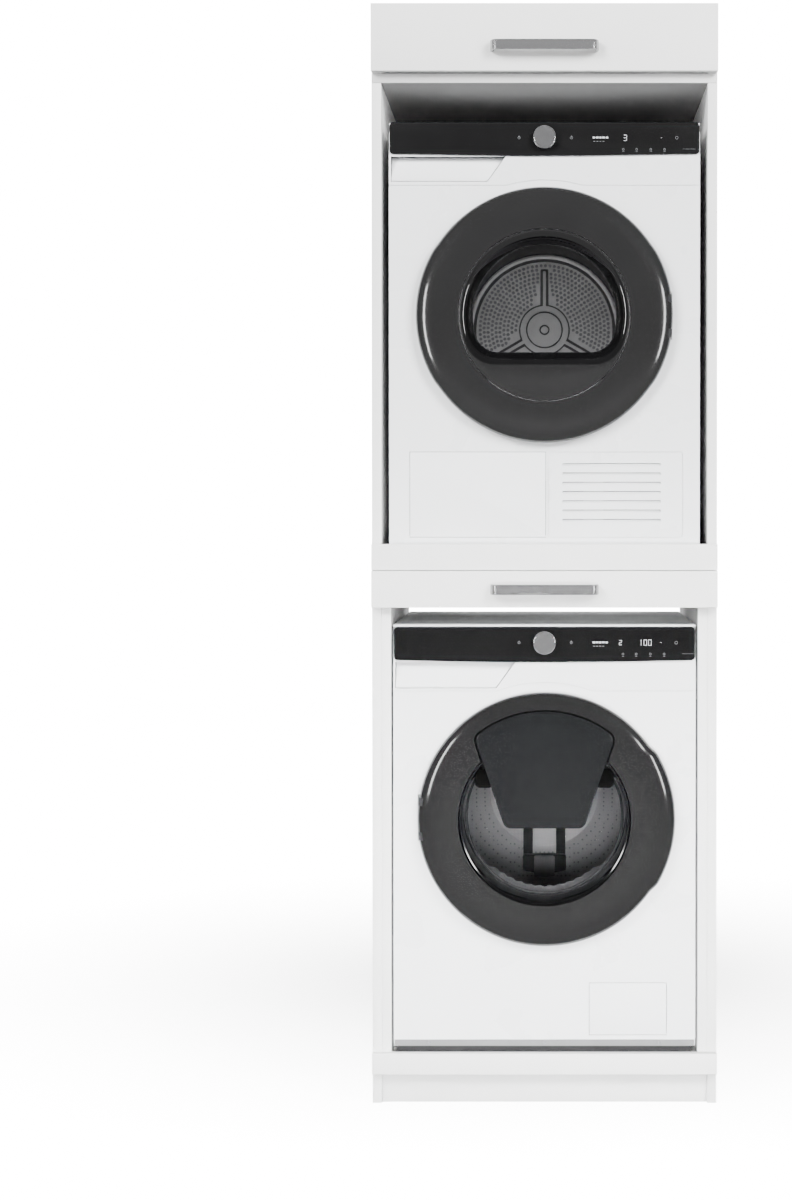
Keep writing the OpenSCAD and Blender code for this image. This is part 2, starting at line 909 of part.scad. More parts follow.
module dryer_front() {
    hinge_x = dryer_door_r - rim;
    color(white)
        difference() {
            front_sheet(dryer_half, dryer_y, dryer_base_z, dryer_panel_low, dryer_panel_high);
            drum_along(0, dryer_door_z, door_opening_r, dryer_y - 1, dryer_y + front_t + 1);
            plate(0, 0, dryer_y - 1, dryer_y + front_t + 1)
                polygon(drawer_outline(-dryer_half + 4, -112, -76, tank_low - 1, tank_high + 1));
            seam(dryer_half, dryer_y, dryer_seam_z, dryer_door_z, 268);
            hinge_seat(hinge_x, dryer_y, dryer_door_z);
            hook_slot(-1, dryer_y, dryer_door_z);
            block([service_x0 - 1, dryer_y - 1, hatch_low - 1],
                [service_x1 + 1, dryer_y + front_t + 1, hatch_high + 1]);
            rod_across(dryer_y + flap_t / 2, hatch_low + 1.6, flap_pin_r + run_fit, service_x0 - 5, service_x1 + 5);
            for (i = [0:6])
                slab([grille_x0, dryer_y - 1, grille_z + i * grille_pitch - 2.5],
                    [grille_x1, dryer_y + front_t + 1, grille_z + i * grille_pitch + 2.5], 2.4);
            difference() {
                slab([service_x1 + 5, dryer_y - 1, hatch_low - 1],
                    [grille_panel_x1, dryer_y + groove_d, hatch_high + 1], 6);
                slab([service_x1 + 5 + groove_w, dryer_y - 2, hatch_low - 1 + groove_w],
                    [grille_panel_x1 - groove_w, dryer_y + groove_d + 1, hatch_high + 1 - groove_w], 6);
            }
        }
}

module dryer_fascia() {
    color(black)
        fascia(dryer_half - 1.5, dryer_y, dryer_panel_low, dryer_panel_high)
            shaft_bore(dryer_y, dryer_knob_z);
}

module dryer_knob() {
    knob(dryer_y, dryer_knob_z);
}

// Water tank behind a grip front, open only at its filling hole
tank_l = 360;
module tank_drawer() {
    color(white) {
        grip_front(tank_outline, dryer_y, tank_low, tank_high);
        difference() {
            block([-284, dryer_y + 22, 1834], [-124, dryer_y + tank_l, tank_top]);
            block([-281, dryer_y + 30, 1837], [-127, dryer_y + tank_l - 3, tank_top + 1]);
        }
        difference() {
            block([-284, dryer_y + 60, tank_top], [-124, dryer_y + tank_l, tank_top + 2]);
            block([-240, dryer_y + tank_l - 80, tank_top - 1], [-170, dryer_y + tank_l - 30, tank_top + 3]);
        }
    }
}

// D-shaped outline about the door centre: a big arc, a flat bottom, and round lower corners
function d_points(big, flat, small) =
    let (cz = flat + small, cx = sqrt((big - small) * (big - small) - cz * cz), lean = atan2(cz, cx))
    concat(arc(0, 0, big, lean, 180 - lean, 40), arc(-cx, cz, small, 180 - lean, 270), arc(cx, cz, small, 270, 360 + lean));

dryer_glass_r = 168;
window_r = 160;
window_flat = -97;
window_corner = 60;
pane_r = 142;
pane_flat = -71;
pane_corner = 48;
module dryer_door_ring() {
    hinge_x = dryer_door_r - rim;
    color(dark) {
        difference() {
            turned(0, dryer_y, dryer_door_z)
                polygon(concat(
                    [[0, 20], [dryer_glass_r - 4, 20], [dryer_glass_r, 12], [dryer_glass_r, door_gap]],
                    rim_points(dryer_door_r),
                    [[dryer_glass_r + 3, door_t], [dryer_glass_r + 1, door_t - 4], [dryer_glass_r - 3, door_t - 4],
                        [dryer_glass_r - 5, door_t - 2], [0, door_t - 2]]));
            plate(0, dryer_door_z, dryer_y - door_t - 2, dryer_y - 10)
                polygon(d_points(window_r, window_flat, window_corner));
            hinge_pockets(hinge_x, dryer_y - hinge_fwd, dryer_door_z);
        }
        hook(-1, dryer_y, dryer_door_z);
    }
}

// Window pan: a clear pane and a rim that reaches back
module dryer_door_window() {
    color([0.3, 0.32, 0.34])
        difference() {
            plate(0, dryer_door_z, dryer_y - 30, dryer_y + 4)
                polygon(d_points(window_r - 0.2, window_flat + 0.2, window_corner));
            plate(0, dryer_door_z, dryer_y - 40, dryer_y)
                polygon(d_points(pane_r, pane_flat, pane_corner));
        }
}

module dryer_hinge() {
    hinge_bracket(dryer_door_r - rim, dryer_y - hinge_fwd, dryer_door_z);
}

dryer_drum_r = 283;
dryer_drum_front = 36;
dryer_drum_back = 362;
module dryer_drum() {
    color(steel) {
        turned(0, dryer_y, dryer_door_z)
            polygon([[200, -dryer_drum_front], [dryer_drum_r, -dryer_drum_front - 4],
                [dryer_drum_r, -dryer_drum_back], [axle_r, -dryer_drum_back], [axle_r, -dryer_drum_back - 46],
                [0, -dryer_drum_back - 46], [0, -dryer_drum_back + 2], [dryer_drum_r - 2, -dryer_drum_back + 2],
                [dryer_drum_r - 2, -dryer_drum_front - 7], [200, -dryer_drum_front - 3]]);
        for (a = [90, 210, 330])
            translate([0, dryer_y + dryer_drum_back - 1, dryer_door_z])
                rotate([90, 0, 0])
                    rotate([0, 0, a])
                        linear_extrude(dryer_drum_back - dryer_drum_front - 20)
                            polygon([[dryer_drum_r - 1, -24], [dryer_drum_r - lifter_h, -10],
                                [dryer_drum_r - lifter_h, 10], [dryer_drum_r - 1, 24]]);
    }
}

// Rear wall with the bearing of the drum and the warm air opening
bulkhead_y = dryer_drum_back + 14;
module dryer_bulkhead() {
    color(steel)
        difference() {
            union() {
                block([-dryer_half + skin, dryer_y + bulkhead_y, dryer_base_z + skin],
                    [dryer_half - skin, dryer_y + bulkhead_y + 3, dryer_top_z - lid_t]);
                drum_along(0, dryer_door_z, 32, dryer_y + bulkhead_y, dryer_y + bulkhead_y + 28);
            }
            drum_along(0, dryer_door_z, axle_r + run_fit, dryer_y + bulkhead_y - 1, dryer_y + bulkhead_y + 40);
            drum_along(150, dryer_door_z, 60, dryer_y + bulkhead_y - 1, dryer_y + bulkhead_y + 4);
        }
}

// Compressor, heat exchanger and motor on the base
module dryer_heat_pump() {
    floor_z = dryer_base_z + skin;
    color([0.4, 0.41, 0.43]) {
        translate([190, dryer_y + 270, floor_z])
            cylinder(r = 68, h = 140);
        block([-270, dryer_y + 60, floor_z], [-90, dryer_y + 300, floor_z + 135]);
        block([-60, dryer_y + 200, floor_z], [80, dryer_y + 340, floor_z + 130]);
    }
}

module service_flap() {
    color(white) {
        slab([service_x0, dryer_y, hatch_low], [service_x1, dryer_y + flap_t, hatch_high], 1.4);
        rod_across(dryer_y + flap_t / 2, hatch_low + 1.6, flap_pin_r, service_x0 - 4, service_x1 + 4);
    }
}

// Lint filter: a frame that lifts out of the sill of the door opening
filter_low = 1262;
filter_high = 1364;
module lint_filter() {
    color([0.75, 0.77, 0.8])
        difference() {
            slab([-110, dryer_y + 15, filter_low], [110, dryer_y + 32, filter_high], 8);
            slab([-98, dryer_y + 18, filter_low + 12], [98, dryer_y + 33, filter_high - 12], 6);
        }
}

module dryer_feet() {
    feet(dryer_half, dryer_y, dryer_back_y, dryer_floor_z);
}

side_panel_left();
side_panel_right();
liner_left();
liner_right();
ceiling_board();
drawer_cheeks();
top_panel();
dryer_shelf();
middle_rail();
washer_shelf();
bottom_rail();
plinth_board();
back_stretchers();
cabinet_runners();
drawer_front();
drawer_box();
drawer_slides();
drawer_handle();
pullout_front();
pullout_board();
pullout_slides();
pullout_handle();
washer_housing();
washer_top();
washer_front();
washer_fascia();
washer_knob();
detergent_drawer();
washer_door_ring();
washer_door_bowl();
add_hatch();
washer_hinge();
washer_gasket();
washer_tub();
washer_drum();
washer_pulley();
washer_belt();
washer_motor();
washer_motor_pulley();
counterweight();
washer_suspension();
drain_pump();
filter_cap();
filter_flap();
washer_feet();
water_inlet();
dryer_housing();
dryer_front();
dryer_fascia();
dryer_knob();
tank_drawer();
dryer_door_ring();
dryer_door_window();
dryer_hinge();
dryer_drum();
dryer_bulkhead();
dryer_heat_pump();
service_flap();
lint_filter();
dryer_feet();
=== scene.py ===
"""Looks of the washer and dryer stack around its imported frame. Lengths are in metres."""
import json
import math

import bmesh
import bpy
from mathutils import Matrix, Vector


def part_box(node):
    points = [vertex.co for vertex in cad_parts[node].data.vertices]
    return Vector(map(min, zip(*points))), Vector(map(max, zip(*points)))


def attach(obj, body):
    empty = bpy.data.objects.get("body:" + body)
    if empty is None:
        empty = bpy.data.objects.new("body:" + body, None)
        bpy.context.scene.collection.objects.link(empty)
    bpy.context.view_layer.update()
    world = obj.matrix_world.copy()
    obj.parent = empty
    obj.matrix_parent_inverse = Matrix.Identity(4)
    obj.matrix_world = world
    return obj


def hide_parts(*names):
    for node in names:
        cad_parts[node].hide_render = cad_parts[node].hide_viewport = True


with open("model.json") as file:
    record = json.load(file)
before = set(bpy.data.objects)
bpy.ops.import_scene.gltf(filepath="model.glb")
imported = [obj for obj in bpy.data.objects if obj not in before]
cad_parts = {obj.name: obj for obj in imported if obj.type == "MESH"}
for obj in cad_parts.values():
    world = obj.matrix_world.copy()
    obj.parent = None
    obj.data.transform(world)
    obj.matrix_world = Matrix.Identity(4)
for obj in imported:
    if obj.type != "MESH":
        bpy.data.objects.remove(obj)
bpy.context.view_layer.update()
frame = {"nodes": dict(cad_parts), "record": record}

MM = 0.001


# ---------------------------------------------------------------- materials
class Shader:
    """A Principled material with short calls for the nodes that feed it."""

    def __init__(self, name, rough, metallic=0.0, coat=0.0):
        self.material = bpy.data.materials.new(name)
        self.material.use_nodes = True
        self.nodes = self.material.node_tree.nodes
        self.links = self.material.node_tree.links
        self.principled = self.nodes["Principled BSDF"]
        self.principled.inputs["Roughness"].default_value = rough
        self.principled.inputs["Metallic"].default_value = metallic
        self.principled.inputs["Coat Weight"].default_value = coat
        self.principled.inputs["Coat Roughness"].default_value = 0.04
        self.place = self.nodes.new("ShaderNodeTexCoord").outputs["Object"]

    def stretched(self, scale):
        mapping = self.nodes.new("ShaderNodeMapping")
        mapping.inputs["Scale"].default_value = scale
        self.links.new(self.place, mapping.inputs["Vector"])
        return mapping.outputs["Vector"]

    def noise(self, scale, detail=3.0, stretch=(1, 1, 1)):
        node = self.nodes.new("ShaderNodeTexNoise")
        node.inputs["Scale"].default_value = scale
        node.inputs["Detail"].default_value = detail
        self.links.new(self.stretched(stretch), node.inputs["Vector"])
        return node.outputs["Fac"]

    def ramp(self, value, dark, light, start=0.3, end=0.7):
        node = self.nodes.new("ShaderNodeValToRGB")
        node.color_ramp.elements[0].position = start
        node.color_ramp.elements[1].position = end
        node.color_ramp.elements[0].color = (*dark, 1)
        node.color_ramp.elements[1].color = (*light, 1)
        self.links.new(value, node.inputs["Fac"])
        return node.outputs["Color"]

    def spread(self, value, low, high):
        node = self.nodes.new("ShaderNodeMapRange")
        node.inputs["To Min"].default_value = low
        node.inputs["To Max"].default_value = high
        self.links.new(value, node.inputs["Value"])
        return node.outputs["Result"]

    def colour(self, value):
        self.links.new(value, self.principled.inputs["Base Color"])

    def roughness(self, value):
        self.links.new(value, self.principled.inputs["Roughness"])

    def bump(self, value, strength, distance=0.0004):
        node = self.nodes.new("ShaderNodeBump")
        node.inputs["Strength"].default_value = strength
        node.inputs["Distance"].default_value = distance
        self.links.new(value, node.inputs["Height"])
        self.links.new(node.outputs["Normal"], self.principled.inputs["Normal"])


def shade(colour, factor):
    """The colour, darker or lighter by the factor."""
    return tuple(min(1.0, c * factor) for c in colour)


def finish(name, colour, rough, vary=0.05, grain=30.0, bump=0.05, bump_grain=900.0, metallic=0.0,
           coat=0.0, stretch=(1, 1, 1), sheen=0.5):
    """A paint, plastic or metal: cloudy colour, uneven gloss and a fine surface grain."""
    shader = Shader(name, rough, metallic, coat)
    shader.principled.inputs["Specular IOR Level"].default_value = sheen
    cloud = shader.noise(grain, 4.0, stretch)
    shader.colour(shader.ramp(cloud, shade(colour, 1 - vary), shade(colour, 1 + vary)))
    shader.roughness(shader.spread(cloud, rough * 0.85, rough * 1.15))
    shader.bump(shader.noise(bump_grain, 2.0, stretch), bump)
    return shader.material


def shaded_below(name, colour, below, rough):
    """Board whose underside is in its own shade: colour all round, below where it faces down."""
    shader = Shader(name, rough)
    way = shader.nodes.new("ShaderNodeSeparateXYZ")
    shader.links.new(shader.place.node.outputs["Normal"], way.inputs["Vector"])
    facing = shader.nodes.new("ShaderNodeMath")
    facing.operation = "MULTIPLY_ADD"
    facing.inputs[1].default_value = 0.05
    shader.links.new(shader.noise(9.0, 4.0), facing.inputs[0])
    shader.links.new(way.outputs["Z"], facing.inputs[2])
    turned = shader.spread(facing.outputs["Value"], 0.0, 1.0)
    turned.node.inputs["From Min"].default_value = -1
    shader.colour(shader.ramp(turned, below, colour, 0.2, 0.6))
    shader.roughness(shader.spread(shader.noise(9.0), rough * 0.85, rough * 1.15))
    shader.bump(shader.noise(1400.0, 2.0), 0.1)
    return shader.material


def clear_glass(name, colour, alpha, rough=0.14):
    """Tinted pane that lets the view through by its alpha."""
    shader = Shader(name, rough)
    shader.principled.inputs["Specular IOR Level"].default_value = 0.3
    cloud = shader.noise(12.0)
    shader.colour(shader.ramp(cloud, shade(colour, 0.9), shade(colour, 1.1)))
    shader.principled.inputs["Alpha"].default_value = alpha
    shader.bump(shader.noise(25.0, 1.0), 0.02)
    return shader.material


def lit(name, colour, strength):
    """A glowing mark of the display, slightly uneven."""
    shader = Shader(name, 0.4)
    cloud = shader.noise(300.0)
    glow = shader.ramp(cloud, shade(colour, 0.85), colour)
    shader.colour(glow)
    shader.links.new(glow, shader.principled.inputs["Emission Color"])
    shader.principled.inputs["Emission Strength"].default_value = strength
    return shader.material


def perforated(name, colour, rough):
    """Drum steel: rows of small dark holes over a brushed sheet."""
    shader = Shader(name, rough, metallic=0.45)
    cells = shader.nodes.new("ShaderNodeTexVoronoi")
    cells.inputs["Scale"].default_value = 110.0
    cells.inputs["Randomness"].default_value = 0.0
    shader.links.new(shader.place, cells.inputs["Vector"])
    holes = cells.outputs["Distance"]
    shader.colour(shader.ramp(holes, shade(colour, 0.6), colour, 0.2, 0.27))
    shader.roughness(shader.spread(shader.noise(40.0), rough * 0.8, rough * 1.2))
    shader.bump(holes, 0.2)
    return shader.material


BOARD = (0.775, 0.775, 0.77)
ENAMEL = (0.80, 0.81, 0.82)
STEEL = (0.55, 0.56, 0.57)
materials = {
    "white_board": finish("melamine", BOARD, 0.42, 0.012, 9.0, 0.10, 1400.0),
    "drawer_board": finish("drawer melamine", (0.74, 0.74, 0.73), 0.5, 0.02, 12.0, 0.1, 1200.0),
    "runner_steel": finish("zinc plate", STEEL, 0.35, 0.08, 60.0, 0.06, 500.0, 1.0),
    "handle_metal": finish("satin nickel", (0.36, 0.36, 0.365), 0.26, 0.05, 70.0, 0.08, 300.0, 0.82,
                           stretch=(0.06, 1, 1)),
    "white_enamel": finish("enamel", ENAMEL, 0.28, 0.01, 7.0, 0.05, 350.0, coat=0.25),
    "white_plastic": finish("white plastic", ENAMEL, 0.34, 0.012, 9.0, 0.05, 900.0),
    "lid_board": finish("top plate", (0.62, 0.63, 0.64), 0.4, 0.02, 14.0, 0.12, 1100.0),
    "panel_black": finish("panel gloss", (0.0062, 0.0062, 0.0064), 0.22, 0.06, 20.0, 0.015, 300.0, sheen=0.3),
    "knob_metal": finish("knob metal", (0.14, 0.14, 0.143), 0.38, 0.05, 80.0, 0.05, 600.0, 0.6),
    "door_grey": finish("door gloss", (0.0118, 0.0118, 0.0120), 0.16, 0.05, 12.0, 0.01, 60.0, coat=0.5),
    "hatch_dark": finish("hatch gloss", (0.0046, 0.0049, 0.0055), 0.14, 0.06, 12.0, 0.01, 60.0, coat=0.3),
    "door_glass": clear_glass("door glass", (0.002, 0.002, 0.002), 0.16),
    "hinge_steel": finish("hinge zinc", STEEL, 0.32, 0.08, 90.0, 0.05, 400.0, 1.0),
    "seal_rubber": finish("seal rubber", (0.07, 0.07, 0.073), 0.55, 0.12, 40.0, 0.15, 700.0),
    "tub_plastic": finish("tub plastic", (0.5, 0.5, 0.49), 0.55, 0.05, 25.0, 0.15, 500.0),
    "drum_steel": perforated("drum steel", (0.38, 0.38, 0.39), 0.45),
    "pulley_alloy": finish("cast alloy", (0.5, 0.51, 0.52), 0.45, 0.1, 50.0, 0.3, 300.0, 1.0),
    "belt_rubber": finish("belt rubber", (0.02, 0.02, 0.02), 0.6, 0.2, 60.0, 0.2, 500.0),
    "motor_grey": finish("motor paint", (0.12, 0.125, 0.13), 0.5, 0.1, 40.0, 0.15, 400.0),
    "weight_iron": finish("cast iron", (0.2, 0.2, 0.195), 0.75, 0.2, 50.0, 0.5, 250.0),
    "suspension_steel": finish("spring steel", (0.3, 0.3, 0.31), 0.4, 0.1, 60.0, 0.1, 400.0, 1.0),
    "pump_plastic": finish("pump plastic", (0.16, 0.16, 0.17), 0.45, 0.1, 40.0, 0.15, 500.0),
    "foot_rubber": finish("foot rubber", (0.016, 0.016, 0.017), 0.6, 0.2, 50.0, 0.2, 600.0),
    "filter_plastic": finish("filter plastic", (0.32, 0.36, 0.42), 0.4, 0.06, 40.0, 0.1, 600.0),
    "galvanised": finish("galvanised", (0.42, 0.43, 0.44), 0.45, 0.15, 25.0, 0.1, 200.0, 0.9),
}
slot_of = {part["node"]: part["material_slot"] for part in frame["record"]["subparts"]}
band_gloss = finish("window band", (0.0026, 0.0026, 0.0028), 0.08, 0.1, 20.0, 0.01, 60.0, coat=0.8)
plate_steel = finish("drum back steel", (0.44, 0.44, 0.45), 0.5, 0.05, 30.0, 0.04, 400.0, 0.3)
# Painted highlight: a lighter copy of the drum back steel for the rim bead round the plate.
rim_steel_painted_light = finish("plate rim steel painted highlight", (0.62, 0.62, 0.63), 0.5, 0.05, 30.0, 0.04, 400.0, 0.3)
# Painted shade: a darker copy of the door gloss for the washer's ring, which the low front lamp lights more
# than the dryer's ring.
washer_ring_painted_shade = finish("washer door gloss painted darker", (0.0078, 0.0078, 0.0080), 0.16, 0.05, 12.0, 0.01, 60.0, coat=0.5)
# Painted shade: a darker copy of the panel gloss for the washer's fascia, which the low front lamp lights
# more.
washer_panel_painted_shade = finish("washer panel gloss painted darker", (0.0040, 0.0040, 0.0042), 0.22, 0.06, 20.0, 0.015, 300.0,
                     sheen=0.25)
# Painted shade: near-black, darker than any rubber, for the gap round the washer's hatch.
painted_gap_shade = finish("gap shade black", (0.0018, 0.0018, 0.0018), 0.8, 0.2, 60.0, 0.1, 600.0, sheen=0.1)
# Painted light: a paler grey for the crescent where light catches the window band's upper slope.
funnel_painted_light = finish("window funnel painted light", (0.0170, 0.0166, 0.0182), 0.3, 0.12, 60.0, 0.05, 300.0)
display_white = lit("display marks", (0.5, 0.52, 0.54), 0.12)
display_dim = lit("display icons", (0.12, 0.125, 0.13), 0.03)
ceiling_shade = shaded_below("ceiling melamine", BOARD, (0.24, 0.24, 0.24), 0.42)
# Partly painted shade: the grey of the washer's base strip is darker than its steel, as light falls from
# above.
base_strip_painted_shade = finish("base strip painted shade", (0.17, 0.17, 0.173), 0.45, 0.05, 40.0, 0.05, 700.0)
lifter_dark = finish("lifter plastic", (0.012, 0.012, 0.013), 0.5, 0.1, 40.0, 0.1, 600.0)
lifter_grey = finish("lifter ridge", (0.09, 0.09, 0.095), 0.45, 0.1, 40.0, 0.1, 600.0)
# Painted shade: the dryer's drum shell is made dark, as the drum wall lies in shadow.
dryer_drum_painted_shade = finish("dryer drum steel painted shade", (0.07, 0.07, 0.073), 0.5, 0.08, 30.0, 0.05, 400.0, 0.3)
boss_steel = finish("boss steel", (0.20, 0.20, 0.21), 0.45, 0.06, 60.0, 0.04, 400.0, 0.3)
# Painted shadow for the grooves and the dark edge round the hub's spokes.
groove_dark = finish("groove shadow", (0.05, 0.05, 0.052), 0.5, 0.1, 60.0, 0.05, 400.0)
bright_metal = finish("bright rim", (0.75, 0.75, 0.76), 0.12, 0.04, 90.0, 0.03, 500.0, 1.0)


# ---------------------------------------------------------------- mesh helpers
def settle(mesh):
    """Faces outwards and smooth, with edges sharper than 35 degrees kept sharp."""
    work = bmesh.new()
    work.from_mesh(mesh)
    bmesh.ops.remove_doubles(work, verts=work.verts, dist=1e-6)
    bmesh.ops.recalc_face_normals(work, faces=work.faces)
    for edge in work.edges:
        edge.smooth = len(edge.link_faces) == 2 and edge.calc_face_angle(0.0) < math.radians(35)
    work.to_mesh(mesh)
    work.free()
    for polygon in mesh.polygons:
        polygon.use_smooth = True


def piece(name, verts, faces, material, body, replaced=(), settled=True):
    """A new mesh that rides the body, in place of the replaced CAD nodes."""
    mesh = bpy.data.meshes.new(name)
    mesh.from_pydata([tuple(v) for v in verts], [], faces)
    mesh.update()
    if settled:
        settle(mesh)
    return place(name, mesh, material, body, replaced)


def place(name, mesh, material, body, replaced=()):
    """The mesh as an object of one material on the body."""
    thing = bpy.data.objects.new(name, mesh)
    bpy.context.scene.collection.objects.link(thing)
    mesh.materials.clear()
    mesh.materials.append(material)
    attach(thing, body)
    if replaced:
        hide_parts(*replaced)
    return thing


def body_of_node(node):
    """Name of the body that the CAD node belongs to."""
    for body, members in frame["record"]["behaviour"]["bodies"].items():
        if node in members:
            return body
    raise KeyError(node)


def baked(thing):
    """The object's mesh with its modifiers applied."""
    graph = bpy.context.evaluated_depsgraph_get()
    mesh = bpy.data.meshes.new_from_object(thing.evaluated_get(graph))
    thing.modifiers.clear()
    thing.data = mesh
    return thing


def eased(node, width, segments=2, material=None, name=None):
    """The CAD node again with its hard edges rounded, in its own body and finish."""
    source = frame["nodes"][node]
    mesh = source.data.copy()
    work = bmesh.new()
    work.from_mesh(mesh)
    bmesh.ops.remove_doubles(work, verts=work.verts, dist=1e-6)
    flat = math.radians(1.0)
    bmesh.ops.dissolve_limit(work, angle_limit=flat, verts=work.verts, edges=work.edges)
    work.to_mesh(mesh)
    work.free()
    name = name or node + "_shape"
    thing = place(name, mesh, material or materials[slot_of[node]], body_of_node(node), (node,))
    bevel = thing.modifiers.new("ease", "BEVEL")
    bevel.width = width
    bevel.segments = segments
    bevel.limit_method = "ANGLE"
    bevel.angle_limit = math.radians(30)
    bevel.harden_normals = True
    for polygon in thing.data.polygons:
        polygon.use_smooth = True
    return baked(thing)


def lathe_points(profile, centre, steps, radius=None):
    """Turned about the Y axis: profile pairs are (radius, distance in front of the centre)."""
    verts = []
    for i in range(steps):
        angle = 2 * math.pi * i / steps
        for r, forward in profile:
            if radius:
                r = radius(r, angle, forward)
            verts.append((centre[0] + r * math.cos(angle), centre[1] - forward,
                          centre[2] + r * math.sin(angle)))
    return verts


def lathe(name, profile, centre, material, body, steps=128, closed=True, radius=None, replaced=()):
    """A turned piece; closed joins the profile's end to its start."""
    n = len(profile)
    rows = n if closed else n - 1
    faces = [(i * n + k, ((i + 1) % steps) * n + k, ((i + 1) % steps) * n + (k + 1) % n, i * n + (k + 1) % n)
             for i in range(steps) for k in range(rows)]
    verts = lathe_points(profile, centre, steps, radius)
    return piece(name, verts, faces, material, body, replaced)


def arc(cx, cy, r, start, end, steps=8):
    """Points of an arc, with its angles in degrees."""
    return [(cx + r * math.cos(math.radians(start + (end - start) * i / steps)),
             cy + r * math.sin(math.radians(start + (end - start) * i / steps))) for i in range(steps + 1)]


def rounded_box(x0, x1, z0, z1, r):
    """X-Z outline of a box with round corners."""
    return (arc(x1 - r, z1 - r, r, 0, 90) + arc(x0 + r, z1 - r, r, 90, 180)
            + arc(x0 + r, z0 + r, r, 180, 270) + arc(x1 - r, z0 + r, r, 270, 360))


def smooth_step(low, high, value):
    """0 below low, 1 above high, and a soft ramp between."""
    t = min(1.0, max(0.0, (value - low) / (high - low)))
    return t * t * (3 - 2 * t)


def in_mm(pairs):
    """Pairs given in millimetres, in metres."""
    return [(a * MM, b * MM) for a, b in pairs]


def skin(rows, n):
    """Quads between rows closed loops of n points each."""
    return [(k * n + i, k * n + (i + 1) % n, (k + 1) * n + (i + 1) % n, (k + 1) * n + i)
            for k in range(rows - 1) for i in range(n)]


def swung(outline, centre, turn):
    """The X-Z outline turned by turn degrees and set about the centre."""
    spin = math.radians(turn)
    return [(centre[0] + x * math.cos(spin) - z * math.sin(spin),
             centre[2] + x * math.sin(spin) + z * math.cos(spin)) for x, z in outline]


def resample(outline, count):
    """The closed outline again, as count points at even spacing."""
    ring = [Vector(p) for p in outline]
    lengths = [(ring[(i + 1) % len(ring)] - p).length for i, p in enumerate(ring)]
    total = sum(lengths)
    result = []
    index, walked = 0, 0.0
    for k in range(count):
        target = total * k / count
        while walked + lengths[index] < target:
            walked += lengths[index]
            index += 1
        t = (target - walked) / lengths[index] if lengths[index] else 0.0
        result.append(ring[index].lerp(ring[(index + 1) % len(ring)], t))
    return result


def pillow(name, outline, y_back, y_front, bulge, edge, material, body, rings=14, replaced=()):
    """A solid with the given X-Z outline, a rounded rim and a front that swells towards its middle."""
    ring = resample(outline, 160)
    n = len(ring)
    middle = sum(ring, Vector((0, 0))) / n
    half_x = max(abs(p.x - middle.x) for p in ring)
    half_z = max(abs(p.y - middle.y) for p in ring)
    inward = lambda p, d: p + (middle - p).normalized() * d
    face = lambda p: y_front - bulge * (max(0.0, 1 - ((p.x - middle.x) / half_x) ** 2)
                                        * max(0.0, 1 - ((p.y - middle.y) / half_z) ** 2))
    verts = [(p.x, y_back, p.y) for p in ring]
    verts += [(p.x, face(p) + edge, p.y) for p in ring]
    steps = 5
    for k in range(1, steps + 1):
        a = math.pi / 2 * k / steps
        rounded = [inward(p, edge * (1 - math.cos(a))) for p in ring]
        verts += [(p.x, face(p) + edge * (1 - math.sin(a)), p.y) for p in rounded]
    for k in range(1, rings):
        inner = [p.lerp(middle, k / rings) for p in rounded]
        verts += [(p.x, face(p), p.y) for p in inner]
    layers = len(verts) // n
    faces = skin(layers, n)
    verts.append((middle.x, face(middle), middle.y))
    top = (layers - 1) * n
    faces += [(top + i, top + (i + 1) % n, len(verts) - 1) for i in range(n)]
    verts.append((middle.x, y_back, middle.y))
    faces += [((i + 1) % n, i, len(verts) - 1) for i in range(n)]
    return piece(name, verts, faces, material, body, replaced)


def thickened(outline, y_back, y_front):
    """Points and faces of a flat X-Z outline with thickness."""
    n = len(outline)
    verts = [(x, y_back, z) for x, z in outline] + [(x, y_front, z) for x, z in outline]
    faces = [tuple(range(n)), tuple(range(2 * n - 1, n - 1, -1))]
    return verts, faces + skin(2, n)


def prism(name, outline, y_back, y_front, material, body, width=0.0, replaced=()):
    """A flat X-Z outline with thickness; width rounds its edges."""
    thing = piece(name, *thickened(outline, y_back, y_front), material, body, replaced)
    if width:
        bevel = thing.modifiers.new("ease", "BEVEL")
        bevel.width = width
        bevel.segments = 3
        bevel.limit_method = "ANGLE"
        bevel.angle_limit = math.radians(40)
        bevel.harden_normals = True
        baked(thing)
    return thing


def cut_by(thing, *cutters):
    """Takes the cutters' volumes away from thing, and deletes them."""
    for cutter in cutters:
        boolean = thing.modifiers.new("cut", "BOOLEAN")
        boolean.operation = "DIFFERENCE"
        boolean.solver = "EXACT"
        boolean.object = cutter
    baked(thing)
    for cutter in cutters:
        bpy.data.objects.remove(cutter)
    settle(thing.data)
    return thing


def cutter(name, outline, y_back, y_front):
    """A loose prism that cut_by takes away."""
    verts, faces = thickened(outline, y_back, y_front)
    mesh = bpy.data.meshes.new(name)
    mesh.from_pydata(verts, [], faces)
    settle(mesh)
    thing = bpy.data.objects.new(name, mesh)
    bpy.context.scene.collection.objects.link(thing)
    return thing


# ---------------------------------------------------------------- cabinet
BOARDS = ("side_panel_left side_panel_right liner_left liner_right ceiling_board drawer_cheeks top_panel "
          "dryer_shelf middle_rail washer_shelf bottom_rail plinth_board back_stretchers drawer_front "
          "pullout_front pullout_board drawer_box").split()
for board in BOARDS:
    eased(board, 0.9 * MM, material=ceiling_shade if board == "ceiling_board" else None)
for runner in ("cabinet_runners", "drawer_slides", "pullout_slides"):
    eased(runner, 0.5 * MM)


